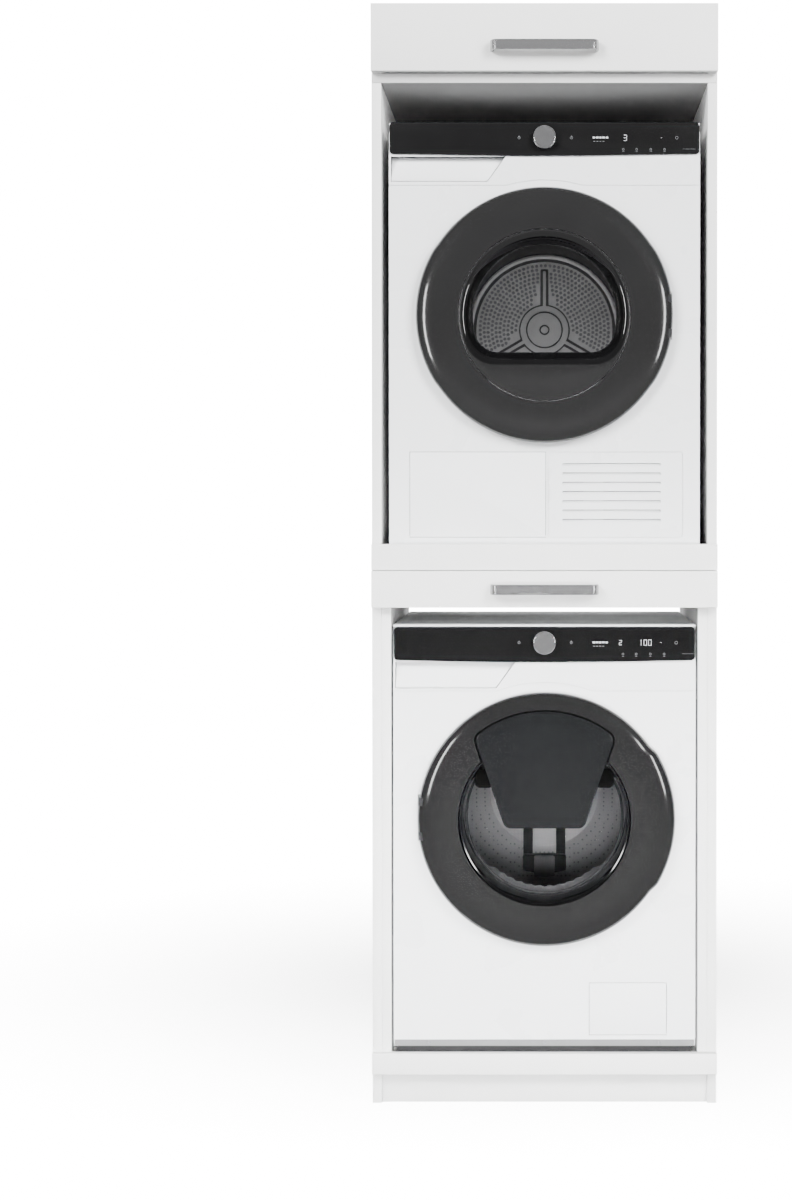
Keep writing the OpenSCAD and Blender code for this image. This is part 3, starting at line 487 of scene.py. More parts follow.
def bow_handle(node):
    """Flat bar with rounded corners that bends back to the front at both ends."""
    low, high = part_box(node)
    thick, bend, soft = 7 * MM, 12 * MM, 2.2 * MM
    half_z, mid_z = (high.z - low.z) / 2, (high.z + low.z) / 2
    x0, x1, y0 = low.x + thick / 2, high.x - thick / 2, low.y + thick / 2
    path = [(x0, high.y + 0.3 * MM), (x0, high.y - 4 * MM)]
    path += arc(x0 + bend, y0 + bend, bend, 180, 270, 10) + arc(x1 - bend, y0 + bend, bend, 270, 360, 10)
    path += [(x1, high.y - 4 * MM), (x1, high.y + 0.3 * MM)]
    section = rounded_box(-thick / 2, thick / 2, -half_z, half_z, soft)
    verts = []
    for i, (x, y) in enumerate(path):
        before, after = path[max(i - 1, 0)], path[min(i + 1, len(path) - 1)]
        along = Vector((after[0] - before[0], after[1] - before[1])).normalized()
        verts += [(x + along.y * n, y - along.x * n, mid_z + z) for n, z in section]
    n = len(section)
    faces = skin(len(path), n)
    faces += [tuple(range(n)), tuple(range(len(verts) - 1, len(verts) - n - 1, -1))]
    bar = piece(node + "_bow", verts, faces, materials["handle_metal"], body_of_node(node), (node,))


bow_handle("drawer_handle")
bow_handle("pullout_handle")

# ---------------------------------------------------------------- housings, fronts and small moving pieces
for housing in ("washer_housing", "dryer_housing"):
    eased(housing, 0.7 * MM)
for sheet in ("washer_front", "dryer_front"):
    for polygon in eased(sheet, 0.35 * MM, 1).data.polygons:
        polygon.use_smooth = False
for cover, width in (("washer_top", 1.6), ("washer_fascia", 1.2), ("dryer_fascia", 1.2),
                     ("detergent_drawer", 0.8), ("tank_drawer", 0.8), ("filter_flap", 0.5),
                     ("service_flap", 0.5), ("washer_feet", 0.8), ("dryer_feet", 0.8), ("water_inlet", 0.8),
                     ("lint_filter", 0.8), ("filter_cap", 1.0)):
    # The washer's fascia takes the darker, painted-shade copy of the panel gloss.
    eased(cover, width * MM, material=washer_panel_painted_shade if cover == "washer_fascia" else None)
for inner in ("washer_hinge", "dryer_hinge", "washer_tub", "washer_pulley", "washer_belt", "washer_motor",
              "washer_motor_pulley", "counterweight", "washer_suspension", "drain_pump", "dryer_bulkhead",
              "dryer_heat_pump"):
    slots = frame["nodes"][inner].data.materials
    slots.clear()
    slots.append(materials[slot_of[inner]])


def knob(name, node):
    """Selector: a turned cap with a bright chamfer, and fine notches round its side."""
    low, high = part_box(node)
    centre = ((low.x + high.x) / 2, high.y - 9 * MM, (low.z + high.z) / 2)
    r, top = (high.x - low.x) / 2 / MM, (centre[1] - low.y) / MM
    body = body_of_node(node)
    side = [(0, -8), (3, -8), (3, 0.5), (r - 2, 0.5), (r, 2), (r, top - 3), (r - 0.6, top - 2.2),
            (0, top - 2.2)]
    chamfer = [(r - 0.5, top - 2.4), (r - 0.1, top - 2), (r - 1.3, top - 0.3), (r - 1.8, top - 0.1),
               (r - 2.2, top - 0.4), (r - 2.2, top - 2.4)]
    cap = [(r - 2.3, top - 2.3), (r - 2.3, top - 0.5), (r - 2.8, top - 0.3), (r * 0.5, top - 0.7),
           (0, top - 0.9)]
    notched = lambda radius, angle, forward: (
        radius - 0.25 * MM * (math.cos(60 * angle) > 0) if radius > (r - 1) * MM else radius)
    skirt = lathe(name + "_skirt", in_mm(side), centre, materials["knob_metal"], body, 240, False, notched,
                  (node,))
    lathe(name + "_rim", in_mm(chamfer), centre, bright_metal, body, 128)
    lathe(name + "_cap", in_mm(cap), centre, materials["knob_metal"], body, 96, False)


def louvre_blades():
    """Sloping white blade behind each slot of the dryer's grille."""
    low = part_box("dryer_front")[0]
    left, right, pitch = 34 * MM, 231 * MM, 18.3 * MM
    for i in range(7):
        z = low.z + 53 * MM + pitch * i
        verts = [(x, low.y + y * MM, z + dz * MM) for x in (left, right)
                 for y, dz in ((1.4, 0.9), (1.4, 0.0), (4.0, -3.4), (6.0, -3.4), (3.4, 0.9))]
        faces = skin(2, 5) + [(4, 3, 2, 1, 0), (5, 6, 7, 8, 9)]
        piece(f"louvre_{i}", verts, faces, materials["white_plastic"], "stack")


def washer_base():
    """Strip along the washer's lower edge, a grey steel flange painted darker as in shade, and a dark sheet
    between its feet that paints the shadow under the machine.
    """
    low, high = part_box("washer_front")
    base_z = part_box("washer_housing")[0].z
    feet_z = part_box("washer_feet")[0].z
    strip = rounded_box(low.x + 2 * MM, high.x - 2 * MM, base_z + 0.3 * MM, low.z - 0.6 * MM, 0.8 * MM)
    prism("washer_base_strip", strip, low.y + 3 * MM, low.y + 0.2 * MM, base_strip_painted_shade, "stack")
    # Painted shadow: a dark sheet set behind the front's lower edge, between the feet.
    shadow_sheet = rounded_box(low.x + 8 * MM, high.x - 8 * MM, feet_z + 0.5 * MM, base_z - 0.2 * MM, 0.5 * MM)
    prism("washer_base_shadow_sheet", shadow_sheet, low.y + 9 * MM, low.y + 5 * MM, materials["foot_rubber"], "stack")


def drawer_gap_strip():
    """Filler in the seam above the dryer's tank drawer."""
    low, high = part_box("tank_drawer")
    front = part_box("dryer_front")[0].y
    outline = rounded_box(low.x + 1 * MM, high.x - 2 * MM, high.z + 0.15 * MM, high.z + 0.9 * MM, 0.2 * MM)
    prism("tank_seam_strip", outline, front + 4 * MM, front + 0.5 * MM, materials["white_plastic"], "stack")


washer_base()
drawer_gap_strip()
louvre_blades()
knob("washer_selector", "washer_knob")
knob("dryer_selector", "dryer_knob")

# ---------------------------------------------------------------- doors
RIM = 11.5 * MM
DOOR_GAP = 1 * MM
DOOR_T = 36 * MM
ROLL = 60 * MM
HINGE_FORWARD = DOOR_GAP + RIM
EAR_FEET = (-41, 27)        # lower ends of the CAD hinge's ears, from the door's centre, in millimetres
EAR_HEIGHT = 14


def door_centre(node, front_node):
    """Centre of a door on the plane of its machine's front, and the door's radius."""
    low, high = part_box(node)
    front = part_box(front_node)[0].y
    return ((low.x + high.x) / 2, front, (low.z + high.z) / 2), (high.z - low.z) / 2


def rim_profile(r):
    """Back edge, half torus and rolled front of a door ring, from the back plane to the flat face."""
    quarter = arc(r - RIM, HINGE_FORWARD, RIM, -90, 0, 10)
    roll = [(r - ROLL * (1 - math.cos(math.radians(t))),
             HINGE_FORWARD + (DOOR_T - HINGE_FORWARD) * math.sin(math.radians(t))) for t in range(5, 91, 5)]
    return quarter + roll


def swollen(rise, r_outer):
    """Radius rule: the rim stands out by rise(angle), in degrees from the right, and fades out inwards."""
    fade = lambda r: smooth_step(r_outer - 55 * MM, r_outer - 8 * MM, r)
    return lambda r, angle, forward: r + rise(math.degrees(math.remainder(angle, 2 * math.pi))) * fade(r)


def lobe(angle, at, height):
    """Grip lobe: stands out by height over 30 degrees each way from the angle at."""
    return height * (1 - smooth_step(29.5, 35.5, abs(math.remainder(angle - at, 360))))


def washer_rise(angle):
    """The washer's rim: fuller at the right and below, with a grip lobe at the right."""
    turn = math.radians(angle)
    across = math.cos(turn)
    return (-0.2 + (2.0 if across > 0 else 0.5) * across - 1.5 * math.sin(turn) + lobe(angle, 0, 5.2)) * MM


def dryer_rise(angle):
    """The dryer's rim: fuller above, with a low lobe at either side."""
    return (-0.6 + 1.75 * math.sin(math.radians(angle)) + lobe(angle, 180, 1.6) + lobe(angle, 0, 1.4)) * MM


def knuckles(prefix, hinge_x, centre, rim):
    """Fixed hinge barrels, flush in the round rim of the door."""
    for i, low in enumerate(EAR_FEET):
        heights = [-0.7 + (EAR_HEIGHT + 1.4) * k / 6 for k in range(7)]
        to_rim = lambda z: math.sqrt(rim ** 2 - (low + z) ** 2) - abs(hinge_x) / MM
        profile = [(min(11.6, max(8.2, to_rim(z))), z) for z in heights]
        profile = [(0, heights[0]), *profile, (0, heights[-1])]
        verts, steps = [], 40
        for k in range(steps):
            a = 2 * math.pi * k / steps
            verts += [(hinge_x + r * MM * math.cos(a), centre[1] - HINGE_FORWARD + r * MM * math.sin(a),
                       centre[2] + (low + z) * MM) for r, z in profile]
        n = len(profile)
        faces = [(k * n + j, ((k + 1) % steps) * n + j, ((k + 1) % steps) * n + j + 1, k * n + j + 1)
                 for k in range(steps) for j in range(n - 1)]
        piece(f"{prefix}_knuckle_{i}", verts, faces, lifter_dark, "stack")


def hatch_outline(grow=0.0):
    """Outline of the washer's hatch about the door centre, enlarged by grow."""
    turn, side = 53.3, 18.9
    top, shoulder, foot = 213 * MM + grow, 19 * MM + grow, 16 * MM + grow
    sx, sz, fx = 116 * MM, 155.5 * MM, 66 * MM
    return (arc(0, 0, top, turn, 180 - turn, 24) + arc(-sx, sz, shoulder, 180 - turn, 180 + side)
            + arc(-fx, -MM, foot, 180 + side, 270) + arc(fx, -MM, foot, 270, 360 - side)
            + arc(sx, sz, shoulder, -side, turn))


def moved(outline, centre):
    """The X-Z outline, set about the centre."""
    return [(x + centre[0], z + centre[2]) for x, z in outline]


def hinge_ways(hinge_x, centre):
    """Pockets in the rim that the fixed hinge ears stand in."""
    ways = []
    for i, low in enumerate(EAR_FEET):
        outline = rounded_box(hinge_x - 14.5 * MM, hinge_x + 14 * MM,
                              centre[2] + (low - 1) * MM, centre[2] + (low + EAR_HEIGHT + 1) * MM, 2 * MM)
        ways.append(cutter(f"hinge_way_{i}", outline, centre[1] + 5 * MM, centre[1] - 24.5 * MM))
    return ways


def ring_inside(groove, lip):
    """Inner wall of a door ring, from the flat face's edge past a lip to the back plane."""
    return [(groove + 1.4 * MM, DOOR_T), (groove + 0.8 * MM, DOOR_T - 0.5 * MM),
            (groove + 0.6 * MM, DOOR_T - lip), (groove + 0.6 * MM, 12 * MM), (groove, DOOR_GAP)]


def latch_hook(name, x, centre, body):
    """Slim steel hook on the back of a door, centred at x."""
    outline = rounded_box(x - 3 * MM, x + 3 * MM, centre[2] - 10 * MM, centre[2] + 10 * MM, 2 * MM)
    prism(name, outline, centre[1] + 8 * MM, centre[1] - 8 * MM, materials["hinge_steel"], body, 0.8 * MM)


def washer_door():
    """Ring, hatch with its seat and a painted-shade ring in the gap round it, inner bevel and glass bowl."""
    centre, outer = door_centre("washer_door_ring", "washer_front")
    y = centre[1]
    seat, clear = y - 20.4 * MM, y - 60 * MM        # the hatch's seat, and a plane well in front of the door
    groove = 169 * MM
    hinge_x = -(outer - RIM)
    # The washer's ring takes the darker, painted-shade copy of the door gloss.
    ring = lathe("washer_ring", rim_profile(outer) + ring_inside(groove, 6 * MM), centre, washer_ring_painted_shade,
                 "washer_door", 240, radius=swollen(washer_rise, outer), replaced=("washer_door_ring",))
    pocket = moved(hatch_outline(3.2 * MM), centre)
    cut_by(ring, cutter("pocket", pocket, seat, clear), *hinge_ways(hinge_x, centre))
    knuckles("washer", hinge_x, centre, 250.2)
    back = prism("hatch_seat", moved(hatch_outline(-3 * MM), centre), y - 12 * MM, y - 19 * MM,
                 materials["pump_plastic"], "washer_door")
    hole = moved(rounded_box(-72 * MM, 72 * MM, 62 * MM, 142 * MM, 20 * MM), centre)
    relief = rounded_box(-90 * MM, 90 * MM, centre[2] - 26 * MM, centre[2] + 3 * MM, MM)
    cut_by(back, cutter("hole", hole, y + 10 * MM, y - 40 * MM),
           cutter("relief", relief, y - 13.5 * MM, y - 30 * MM))
    for side in (-1, 1):
        lug_x = side * 118.5 * MM
        lug = rounded_box(lug_x - 18.5 * MM, lug_x + 18.5 * MM,
                          centre[2] + 61 * MM, centre[2] + 99 * MM, 11 * MM)
        # The hatch's lugs take the same near-black material.
        prism(f"hatch_lug_{side + 2}", lug, y - 8 * MM, y - 18 * MM, painted_gap_shade, "washer_door", 2 * MM)
    latch_hook("washer_latch_hook", 212 * MM, centre, "washer_door")

    # Painted shade: a near-black ring that fills the gap round the hatch.
    seal = prism("hatch_gap_shade", moved(hatch_outline(3.1 * MM), centre), seat, y - 33 * MM, painted_gap_shade,
                 "washer_door")
    cut_by(seal, cutter("gap_shade_inner", moved(hatch_outline(0.7 * MM), centre), y - 10 * MM, clear),
           cutter("gap_shade_window", moved(arc(0, 0, 168 * MM, 0, 357, 120), centre), y - 10 * MM, clear))
    hatch = pillow("hatch_cover", moved(hatch_outline(), centre), y - 20.2 * MM, y - 35.5 * MM,
                   4.5 * MM, 3.5 * MM, materials["hatch_dark"], "hatch", replaced=("add_hatch",))

    slope = [(167.2, 33.6), (166.2, 34.2), (164.4, 33.2), (162.6, 27), (160.4, 14), (158.4, -2), (156.8, -18),
             (156, -34), (157.8, -36), (159.6, -22), (161, -8), (164, 0), (167.2, 4)]
    bevel = lathe("washer_bevel", in_mm(slope), centre, band_gloss, "washer_door", 192)
    cut_by(bevel, cutter("pocket", pocket, seat, clear), cutter("hole", hole, y + 120 * MM, clear))
    bead = [(157, -34), (154.6, -33.4), (152.8, -35), (152.6, -38), (157.4, -38.5)]
    lathe("washer_glass_seal", in_mm(bead), centre, materials["foot_rubber"], "washer_door", 144)
    dome = lambda r, deep: [(r * math.cos(math.radians(t)) ** 0.6 * MM,
                             (-37 - deep * math.sin(math.radians(t)) ** 1.2) * MM) for t in range(0, 90, 6)]
    bowl = dome(153, 54) + [(0, -91 * MM), (0, -94.5 * MM)] + dome(156, 57.5)[::-1]
    glass_piece = lathe("washer_glass", bowl, centre, materials["door_glass"], "washer_door", 144,
                        replaced=("washer_door_bowl",))
    cut_by(glass_piece, cutter("hole", hole, y + 120 * MM, clear))
    return centre


def d_outline(big, flat, small):
    """D lying on its flat side: a large arc, a flat bottom and rounded lower corners."""
    cz = flat + small
    cx = math.sqrt((big - small) ** 2 - cz * cz)
    lean = math.degrees(math.atan2(cz, cx))
    return (arc(0, 0, big, lean, 180 - lean, 64) + arc(-cx, cz, small, 180 - lean, 270, 16)
            + arc(cx, cz, small, 270, 360 + lean, 16))


def loft(name, loops, material, body, replaced=()):
    """A skin through closed loops of equally many points; each loop is (points, y)."""
    n = len(loops[0][0])
    verts = [(x, y, z) for points, y in loops for x, z in points]
    return piece(name, verts, skin(len(loops), n), material, body, replaced)


def band_depth(t):
    """How far the window's band has sunk behind the face, from its outer edge (0) to its inner one (1)."""
    return 30 * MM * (1 - math.cos(t * math.pi / 2)) ** 1.1


def window_funnel(centre, y_face):
    """Crescent on the upper slope of the window's band, painted paler where light catches it."""
    count, rows, verts = 60, 4, []
    for i in range(count + 1):
        a = math.radians(27 + 126 * i / count)
        for k in range(rows + 1):
            reach = [-c * math.sin(a) + math.sqrt(r * r - (c * math.cos(a)) ** 2)
                     for c, r in ((36.0, 176.6), (10.4, 162.3))]
            r = reach[0] + (reach[1] - reach[0]) * k / rows
            t = min(1.0, max(0.0, (163.5 - r) / 22.5))
            verts.append((centre[0] + r * MM * math.cos(a), y_face + band_depth(t),
                          centre[2] + r * MM * math.sin(a)))
    n = rows + 1
    faces = [(i * n + k, i * n + k + 1, (i + 1) * n + k + 1, (i + 1) * n + k)
             for i in range(count) for k in range(rows)]
    piece("dryer_window_funnel", verts, faces, funnel_painted_light, "dryer_door", settled=False)


def dryer_door():
    """Ring, flat disc with a D-shaped window, its sunken band and the pane."""
    centre, outer = door_centre("dryer_door_ring", "dryer_front")
    y = centre[1]
    groove = 168 * MM
    ring = lathe("dryer_ring", rim_profile(outer) + ring_inside(groove, 5 * MM), centre,
                 materials["door_grey"], "dryer_door", 240, radius=swollen(dryer_rise, outer),
                 replaced=("dryer_door_ring",))
    hinge_x = outer - RIM
    cut_by(ring, *hinge_ways(hinge_x, centre))
    knuckles("dryer", hinge_x, centre, 252.7)
    face = DOOR_T - 1.2 * MM
    disc = prism("dryer_disc", moved(arc(0, 0, groove - 0.6 * MM, 0, 360 - 2.5, 143), centre),
                 y - 20 * MM, y - face, materials["door_grey"], "dryer_door", 0.8 * MM)
    window = d_outline(163.5 * MM, -97 * MM, 60 * MM)
    cut_by(disc, cutter("window", moved(window, centre), y + 5 * MM, y - 60 * MM))
    pane = d_outline(141 * MM, -71 * MM, 48 * MM)
    wide, tight = ([tuple(p) for p in resample(moved(outline, centre), 200)] for outline in (window, pane))
    steps = 6
    loops = []
    for k in range(steps + 1):
        t = k / steps
        loops.append(([(a[0] + (b[0] - a[0]) * t, a[1] + (b[1] - a[1]) * t) for a, b in zip(wide, tight)],
                      y - face + 0.3 * MM + band_depth(t)))
    loops += [(tight, y + 3.8 * MM), (wide, y - 12 * MM), (wide, y - face + 0.3 * MM)]
    loft("dryer_window_band", loops, band_gloss, "dryer_door")
    window_funnel(centre, y - face)
    glass_piece = pillow("dryer_glass", tight, y + 3.5 * MM, y - 1 * MM, 5 * MM, 1 * MM,
                         materials["door_glass"], "dryer_door", replaced=("dryer_door_window",))
    latch_hook("dryer_latch_hook", -212 * MM, centre, "dryer_door")
    return centre


washer_centre = washer_door()
dryer_centre = dryer_door()


# ---------------------------------------------------------------- gasket and washer drum
def washer_inside(centre):
    """Gasket with a wavy lip that droops at its foot, and the drum behind it."""
    def lip(r, angle, forward):
        """Radius rule of the gasket's inner edge."""
        if forward > -60 * MM or r > 172 * MM:
            return r
        from_foot = abs(math.degrees(math.remainder(angle + math.pi / 2, 2 * math.pi)))
        drop = 1 - smooth_step(38, 60, from_foot)
        return r - drop * 19 * MM + (0.4 + 0.6 * drop) * 1.7 * MM * math.cos(48 * angle)

    pleats = [(187.5, -2), (187.5, -58), (194, -61), (194, -64), (178, -66), (168, -74), (166.5, -72.5),
              (176, -63), (180, -56), (184, -52), (179, -47), (184, -42), (179, -37), (184, -32), (175, -28),
              (164, -26), (162.5, -22), (165, -17), (176, -14), (181, -8), (180, -2)]
    lathe("washer_bellows", in_mm(pleats), centre, materials["seal_rubber"], "stack", 384,
          radius=lip, replaced=("washer_gasket",))

    shell = [(178, -79.5), (182, -78), (236, -84), (241, -89), (242, -98), (242, -384), (236, -394),
             (226, -398), (15, -398), (15, -452), (0, -452)]
    inner = [(0, -394), (118, -394), (124, -391), (196, -352), (232, -338), (238.5, -330), (240, -318),
             (240, -100), (238, -90), (232, -86.5), (182, -81.5)]
    drum = lathe("washer_drum_shell", in_mm(shell + inner), centre,
                 materials["drum_steel"], "washer_drum", 144, replaced=("washer_drum",))
    plate = [(0, -391.5), (34, -391.5), (36, -390), (40, -390), (42, -391.5), (113, -391.5), (116, -393),
             (116, -394.2)]
    lathe("washer_drum_plate", in_mm(plate), centre, plate_steel, "washer_drum", 96, False)
    for turn in range(30, 390, 120):
        lifter(centre, turn)


def lifter(centre, turn):
    """A paddle along the drum wall that climbs the back plate with two ribs."""
    def bar(name, corners, y_far, y_near, r, material):
        """Rounded bar with its corners, depths and radius in millimetres."""
        outline = swung(rounded_box(*(c * MM for c in corners), r * MM), centre, turn + 90)
        prism(f"{name}_{turn}", outline, centre[1] + y_far * MM, centre[1] + y_near * MM, material,
              "washer_drum", 1.5 * MM)

    for side, (x0, x1) in (("left", (-45, -25)), ("right", (25, 45))):
        bar("lifter_rib_" + side, (x0, x1, -150, -58), 393.5, 380, 3, lifter_dark)
    bar("lifter_foot", (-46, 46, -192, -130), 392, 366, 5, lifter_dark)
    bar("lifter_face", (-22, 22, -190, -132), 367, 362, 4, lifter_grey)
    section = [(-27, -239.5), (-24, -222), (-14, -197), (-8, -192), (8, -192), (14, -197), (24, -222),
               (27, -239.5)]
    prism(f"lifter_{turn}", swung(in_mm(section), centre, turn + 90), centre[1] + 392 * MM,
          centre[1] + 104 * MM, lifter_grey, "washer_drum", 3.5 * MM)


washer_inside(washer_centre)


# ---------------------------------------------------------------- dryer drum
SPOKE_TURNS = (90, 210, 330)        # degrees from the right, for the hub's spokes and the drum's lifters


def dryer_inside(centre):
    """Drum with its dimpled and spoked back plate, and three lifters."""
    back = centre[1] + 362 * MM
    shell = [(200, -36.5), (204, -35.5), (276, -39), (282, -44), (283, -52), (283, -352), (278, -359),
             (270, -362), (15, -362), (15, -408), (0, -408)]
    inner = [(0, -358), (150, -358), (164, -352), (190, -348), (262, -346), (276, -340), (281, -330),
             (281, -54), (279, -46), (274, -42), (204, -38.5)]
    # The drum's shell takes the dark, painted-shade steel.
    drum = lathe("dryer_drum_shell", in_mm(shell + inner), centre, dryer_drum_painted_shade, "dryer_drum", 144,
                 replaced=("dryer_drum",))
    plate = [(0, -354), (144, -354), (144.5, -353.9)]
    groove = [(144.4, -353.9), (147, -354.6), (149, -354), (151, -351)]
    rim = [(150.8, -351.2), (152, -349.5), (155.5, -348), (159, -349.5), (160, -353), (160, -358.5)]
    lathe("dryer_back_plate", in_mm(plate), centre, plate_steel, "dryer_drum", 144, False)
    lathe("dryer_plate_groove", in_mm(groove), centre, groove_dark, "dryer_drum", 144, False)
    # The rim bead takes the lighter, painted-highlight copy of the plate steel.
    lathe("dryer_plate_rim", in_mm(rim), centre, rim_steel_painted_light, "dryer_drum", 144, False)
    dimples(centre, back - 8 * MM)
    spoked_hub(centre, back - 8 * MM)
    section = [(-25, -280.5), (-20, -262), (-12, -238), (-7, -233), (7, -233), (12, -238), (20, -262),
               (25, -280.5)]
    for turn in SPOKE_TURNS:
        prism(f"dryer_lifter_{turn}", swung(in_mm(section), centre, turn + 90), back - 16 * MM,
              centre[1] + 62 * MM, materials["galvanised"], "dryer_drum", 4 * MM)


def dimples(centre, y):
    """Rings of small raised bosses pressed into the drum's back plate."""
    verts, faces = [], []
    for ring in range(10):
        r = (61 + 8.4 * ring) * MM
        count = int(2 * math.pi * r / (9.4 * MM))
        for i in range(count):
            a = 2 * math.pi * (i + 0.5 * (ring % 2)) / count
            x, z = r * math.cos(a), r * math.sin(a)
            if near_spoke(x, z):
                continue
            start = len(verts)
            for size, rise in ((3.7 * MM, -0.2 * MM), (2.9 * MM, 0.9 * MM), (1.9 * MM, 1.25 * MM)):
                verts += [(centre[0] + x + size * math.cos(k * math.pi / 5), y - rise,
                           centre[2] + z + size * math.sin(k * math.pi / 5)) for k in range(10)]
            verts.append((centre[0] + x, y - 0.6 * MM, centre[2] + z))
            faces += [tuple(start + corner for corner in quad) for quad in skin(3, 10)]
            faces += [(start + 20 + k, start + 20 + (k + 1) % 10, start + 30) for k in range(10)]
    piece("dryer_plate_bosses", verts, faces, boss_steel, "dryer_drum", settled=False)


def near_spoke(x, z):
    """Whether the point lies on one of the hub's three spokes, where there are no dimples."""
    for turn in SPOKE_TURNS:
        a = math.radians(turn)
        along = x * math.cos(a) + z * math.sin(a)
        across = -x * math.sin(a) + z * math.cos(a)
        bare = 13.5 * MM + 12 * MM * (1 - smooth_step(55 * MM, 85 * MM, along))
        if -10 * MM < along < 134 * MM and abs(across) < bare:
            return True
    return False


def spoked(hub, half_width, reach, flare):
    """Outline of a round hub with three spokes, about the drum's axis."""
    outline = []
    for i in range(720):
        a = 2 * math.pi * i / 720
        off = abs(math.remainder(a - math.pi / 2, 2 * math.pi / 3))
        width = half_width / max(math.sin(off), 1e-4)
        r = min(reach, width + flare * max(0.0, 1 - width / (2.2 * hub))) if off < 1.0 else 0.0
        r = max(hub, r)
        outline.append((r * math.cos(a), r * math.sin(a)))
    return outline


def spoked_hub(centre, y):
    """Three-spoked plate with two turned grooves, over a darker edge; edge and grooves are painted groove
    shadow.
    """
    edge = moved(spoked(54 * MM, 8.5 * MM, 129 * MM, 4 * MM), centre)
    plate = moved(spoked(51 * MM, 3.2 * MM, 125 * MM, 4 * MM), centre)
    prism("hub_groove", edge, y + 1 * MM, y - 0.8 * MM, groove_dark, "dryer_drum")
    prism("hub_plate", plate, y + 0.5 * MM, y - 3.6 * MM, plate_steel, "dryer_drum", 0.9 * MM)
    for r, wide in ((37.5, 1.3), (9.2, 1.4)):
        section = [(r - wide, -348), (r - wide, -350.2), (r + wide, -350.2), (r + wide, -348), (r, -349.2)]
        lathe(f"hub_ring_{int(r)}", in_mm(section), centre, groove_dark, "dryer_drum", 96)


dryer_inside(dryer_centre)


# ---------------------------------------------------------------- panel marks
STROKES = {"2": "abged", "3": "abgcd", "0": "abcdef", "1": "bc", "-": "g"}


def digit(name, glyph, x, z, height, y, material):
    """One glyph from seven slim strokes, standing on the panel face."""
    w, h, t = height * 0.5, height / 2, height * 0.08
    spans = {"a": (0, w, 2 * h, 2 * h), "g": (0, w, h, h), "d": (0, w, 0, 0), "f": (0, 0, h, 2 * h),
             "b": (w, w, h, 2 * h), "e": (0, 0, 0, h), "c": (w, w, 0, h)}
    for stroke in STROKES[glyph]:
        x0, x1, z0, z1 = spans[stroke]
        mark(f"{name}_{stroke}", x + x0 - w / 2 - t / 2, x + x1 - w / 2 + t / 2,
             z + z0 - h - t / 2, z + z1 - h + t / 2, y, material)


def mark(name, x0, x1, z0, z1, y, material):
    """Raised bar on the panel face, with its span in millimetres."""
    r = min(0.4, (x1 - x0) / 2.01, (z1 - z0) / 2.01)
    outline = rounded_box(x0 * MM, x1 * MM, z0 * MM, z1 * MM, r * MM)
    prism(name, outline, y + 0.05 * MM, y - 0.25 * MM, material, "stack")


def ring_mark(name, x, z, r, wide, y, material):
    """Raised ring on the panel face, with its place and size in millimetres."""
    section = [(r, 0.2), (r, -0.05), (r - wide, -0.05), (r - wide, 0.2)]
    lathe(name, in_mm(section), (x * MM, y, z * MM), material, "stack", 40)


def panel(prefix, z, right_digits):
    """Generic display marks at height z: word-like bars, a digit row and a row of small icons."""
    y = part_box(prefix + "_fascia")[0].y
    for i, (x0, x1) in enumerate(((95, 99.5), (101, 106.5), (108, 112), (113.5, 119), (120.5, 125))):
        mark(f"{prefix}_bar_{i}", x0, x1, z - 1.2 + 0.3 * (i % 2), z + 2.2, y, display_white)
    for i in range(4):
        mark(f"{prefix}_line_{i}", 96 + 6 * i, 100 + 6 * i, z - 7.6, z - 6.4, y, display_dim)
    for i, (glyph, x, height) in enumerate(right_digits):
        digit(f"{prefix}_digit_{i}", glyph, x, z, height, y, display_white)
    for i, x in enumerate((155, 181, 209, 236)):
        ring_mark(f"{prefix}_icon_{i}", x, z - 22.5, 2.3, 0.8, y, display_dim)
        mark(f"{prefix}_icon_foot_{i}", x - 2.2, x + 2.2, z - 27.4, z - 26.6, y, display_dim)
    for side, x in (("left", -50), ("right", 53)):
        ring_mark(f"{prefix}_{side}_icon", x, z, 2.8, 0.7, y, display_dim)
        mark(f"{prefix}_{side}_dash", x - 0.4, x + 0.4, z - 1.2, z + 4.4, y, display_dim)
    ring_mark(prefix + "_start_icon", 260, z, 3.0, 0.7, y, display_dim)
    mark(prefix + "_edge_line", 272, 297, z - 22.3, z - 21.7, y, display_dim)


panel("dryer", 1904.5, (("3", 159, 11), ("-", 230, 5)))
panel("washer", 911.5, (("2", 150, 9), ("1", 188, 11), ("0", 199, 11), ("0", 208, 11), ("-", 230, 5)))


def base_screws():
    """Three screw heads along the washer's lower edge."""
    head = [(0, 1.3), (2.2, 1.1), (3.4, 0.4), (3.6, -0.4), (0, -0.4)]
    y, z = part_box("washer_front")[0].y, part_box("washer_housing")[0].z + 6 * MM
    for i, x in enumerate((-228, 0, 228)):
        lathe(f"base_screw_{i}", in_mm(head), (x * MM, y, z), boss_steel, "stack", 32, False)


base_screws()

# ---------------------------------------------------------------- camera, lights and floor
camera = bpy.data.objects.new("camera", bpy.data.cameras.new("camera"))
bpy.context.scene.collection.objects.link(camera)
camera.location = (-0.0012, -4.725, 1.1848)
camera.rotation_euler = (math.radians(90 - 0.89), 0, 0)
camera.data.sensor_fit = "VERTICAL"
camera.data.sensor_height = 36
camera.data.lens = 67.74
camera.data.shift_x = -0.1232
camera.data.shift_y = -0.0507
bpy.context.scene.camera = camera


STRIP, SOFT, LOW, BACK, LAMP = 70, 820, 36, 260, 0.9     # watts
ROOM, GROUND, BACKDROP = 0.15, 0.45, 16.0                # strength of the room, ground light and backdrop


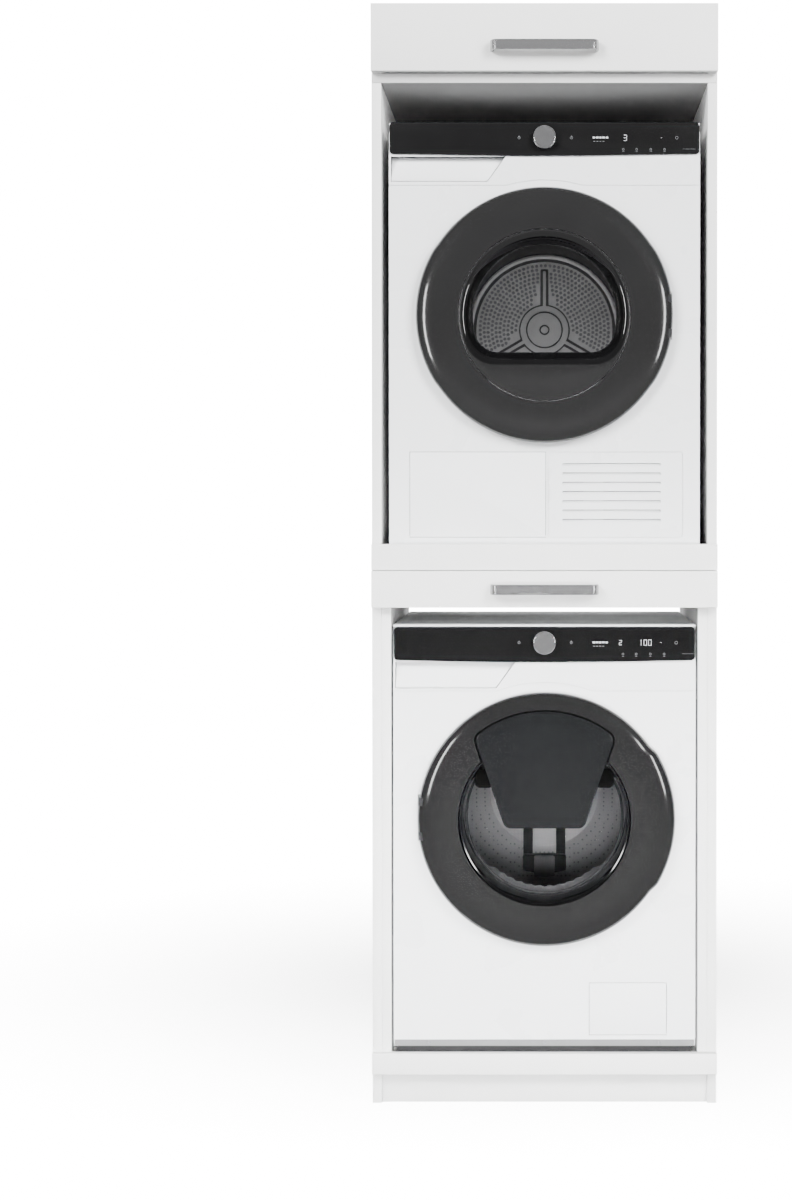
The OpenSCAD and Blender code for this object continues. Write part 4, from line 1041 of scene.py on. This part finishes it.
def area_light(name, place_at, aim, width, height, power, mirrored=True, spread=180):
    """Soft panel that faces aim; mirrored says whether gloss shows it."""
    data = bpy.data.lights.new(name, "AREA")
    data.shape = "RECTANGLE"
    data.size, data.size_y = width, height
    data.energy = power
    data.spread = math.radians(spread)
    lamp = bpy.data.objects.new(name, data)
    lamp.location = place_at
    lamp.rotation_euler = (Vector(aim) - Vector(place_at)).to_track_quat("-Z", "Y").to_euler()
    bpy.context.scene.collection.objects.link(lamp)
    lamp.visible_glossy = mirrored


for name, (out, y, z), aim_z, (width, height), power in (
        ("strip", (3.0, -2.9, 1.65), 1.2, (0.35, 1.9), STRIP),
        ("soft", (3.4, -4.6, 4.4), 1.2, (2.4, 2.4), SOFT),
        ("back", (3.2, 3.8, 3.0), 1.0, (2.0, 2.0), BACK)):
    for side, x in (("left", -out), ("right", out)):
        area_light(f"{name}_{side}", (x, y, z), (0, 0, aim_z), width, height, power, name == "strip")
area_light("drum_lamp", (0, dryer_centre[1] + 0.07, dryer_centre[2] - 0.13),
           (0, dryer_centre[1] + 0.36, dryer_centre[2] + 0.02), 0.24, 0.04, LAMP, False)
area_light("low_front", (0, -3.0, 0.45), (0, 0, 0.35), 2.6, 0.5, LOW, False, 50)


def studio_world():
    """Dim grey room with soft light off the ground."""
    world = bpy.data.worlds.new("studio")
    world.use_nodes = True
    nodes, links = world.node_tree.nodes, world.node_tree.links
    nodes["Background"].inputs["Color"].default_value = (1, 1, 1, 1)
    way = nodes.new("ShaderNodeSeparateXYZ")
    links.new(nodes.new("ShaderNodeTexCoord").outputs["Generated"], way.inputs["Vector"])

    def blend(axis, start, end, low, high):
        """Soft change from low to high along the axis of the view's direction."""
        node = nodes.new("ShaderNodeMapRange")
        node.interpolation_type = "SMOOTHSTEP"
        for name, value in (("From Min", start), ("From Max", end), ("To Min", low), ("To Max", high)):
            node.inputs[name].default_value = value
        links.new(way.outputs[axis], node.inputs["Value"])
        return node.outputs["Result"]

    links.new(blend("Z", -0.35, 0.0, GROUND, ROOM), nodes["Background"].inputs["Strength"])
    bpy.context.scene.world = world


studio_world()


def backdrop_glow(name, near, far, strength):
    """Studio paper that brightens away from its centre near the object, from near to far metres; a dimmer
    middle is a painted soft shadow.
    """
    shader = Shader(name, 0.6)
    shader.colour(shader.ramp(shader.noise(2.0), (0.84, 0.84, 0.84), (0.87, 0.87, 0.87)))
    length = shader.nodes.new("ShaderNodeVectorMath")
    length.operation = "LENGTH"
    shader.links.new(shader.place, length.inputs[0])
    glow = shader.spread(length.outputs["Value"], 0.0, strength)
    glow.node.interpolation_type = "SMOOTHSTEP"
    glow.node.inputs["From Min"].default_value = near
    glow.node.inputs["From Max"].default_value = far
    shader.links.new(glow, shader.principled.inputs["Emission Strength"])
    shader.principled.inputs["Emission Color"].default_value = (1, 1, 1, 1)
    return shader.material


def stage_piece(name, verts, faces, material, centre=(0, 0, 0)):
    """Floor or backdrop: the camera sees it, and it adds no light of its own to the object."""
    mesh = bpy.data.meshes.new(name)
    mesh.from_pydata(verts, [], faces)
    mesh.materials.append(material)
    thing = bpy.data.objects.new(name, mesh)
    bpy.context.scene.collection.objects.link(thing)
    thing.location = centre
    thing.visible_diffuse = False
    thing.visible_glossy = False
    thing.visible_shadow = False


def studio(radius=9, height=9, floor_reach=1.2):
    """Round floor and wall about the object."""
    ring = arc(0, 0, radius, 0, 355, 71)
    n = len(ring)
    # The floor's dimmer middle, centred behind the object, is a painted soft shadow.
    stage_piece("floor", [(floor_reach * x, floor_reach * y, 0) for x, y in ring], [tuple(range(n))],
                backdrop_glow("studio floor painted shadow", -0.4, 2.2, BACKDROP), (0, 0.9, 0))
    stage_piece("backdrop", [(x, y, z) for z in (0, height) for x, y in ring], skin(2, n),
                backdrop_glow("studio wall", 1.0, 2.0, BACKDROP))


studio()
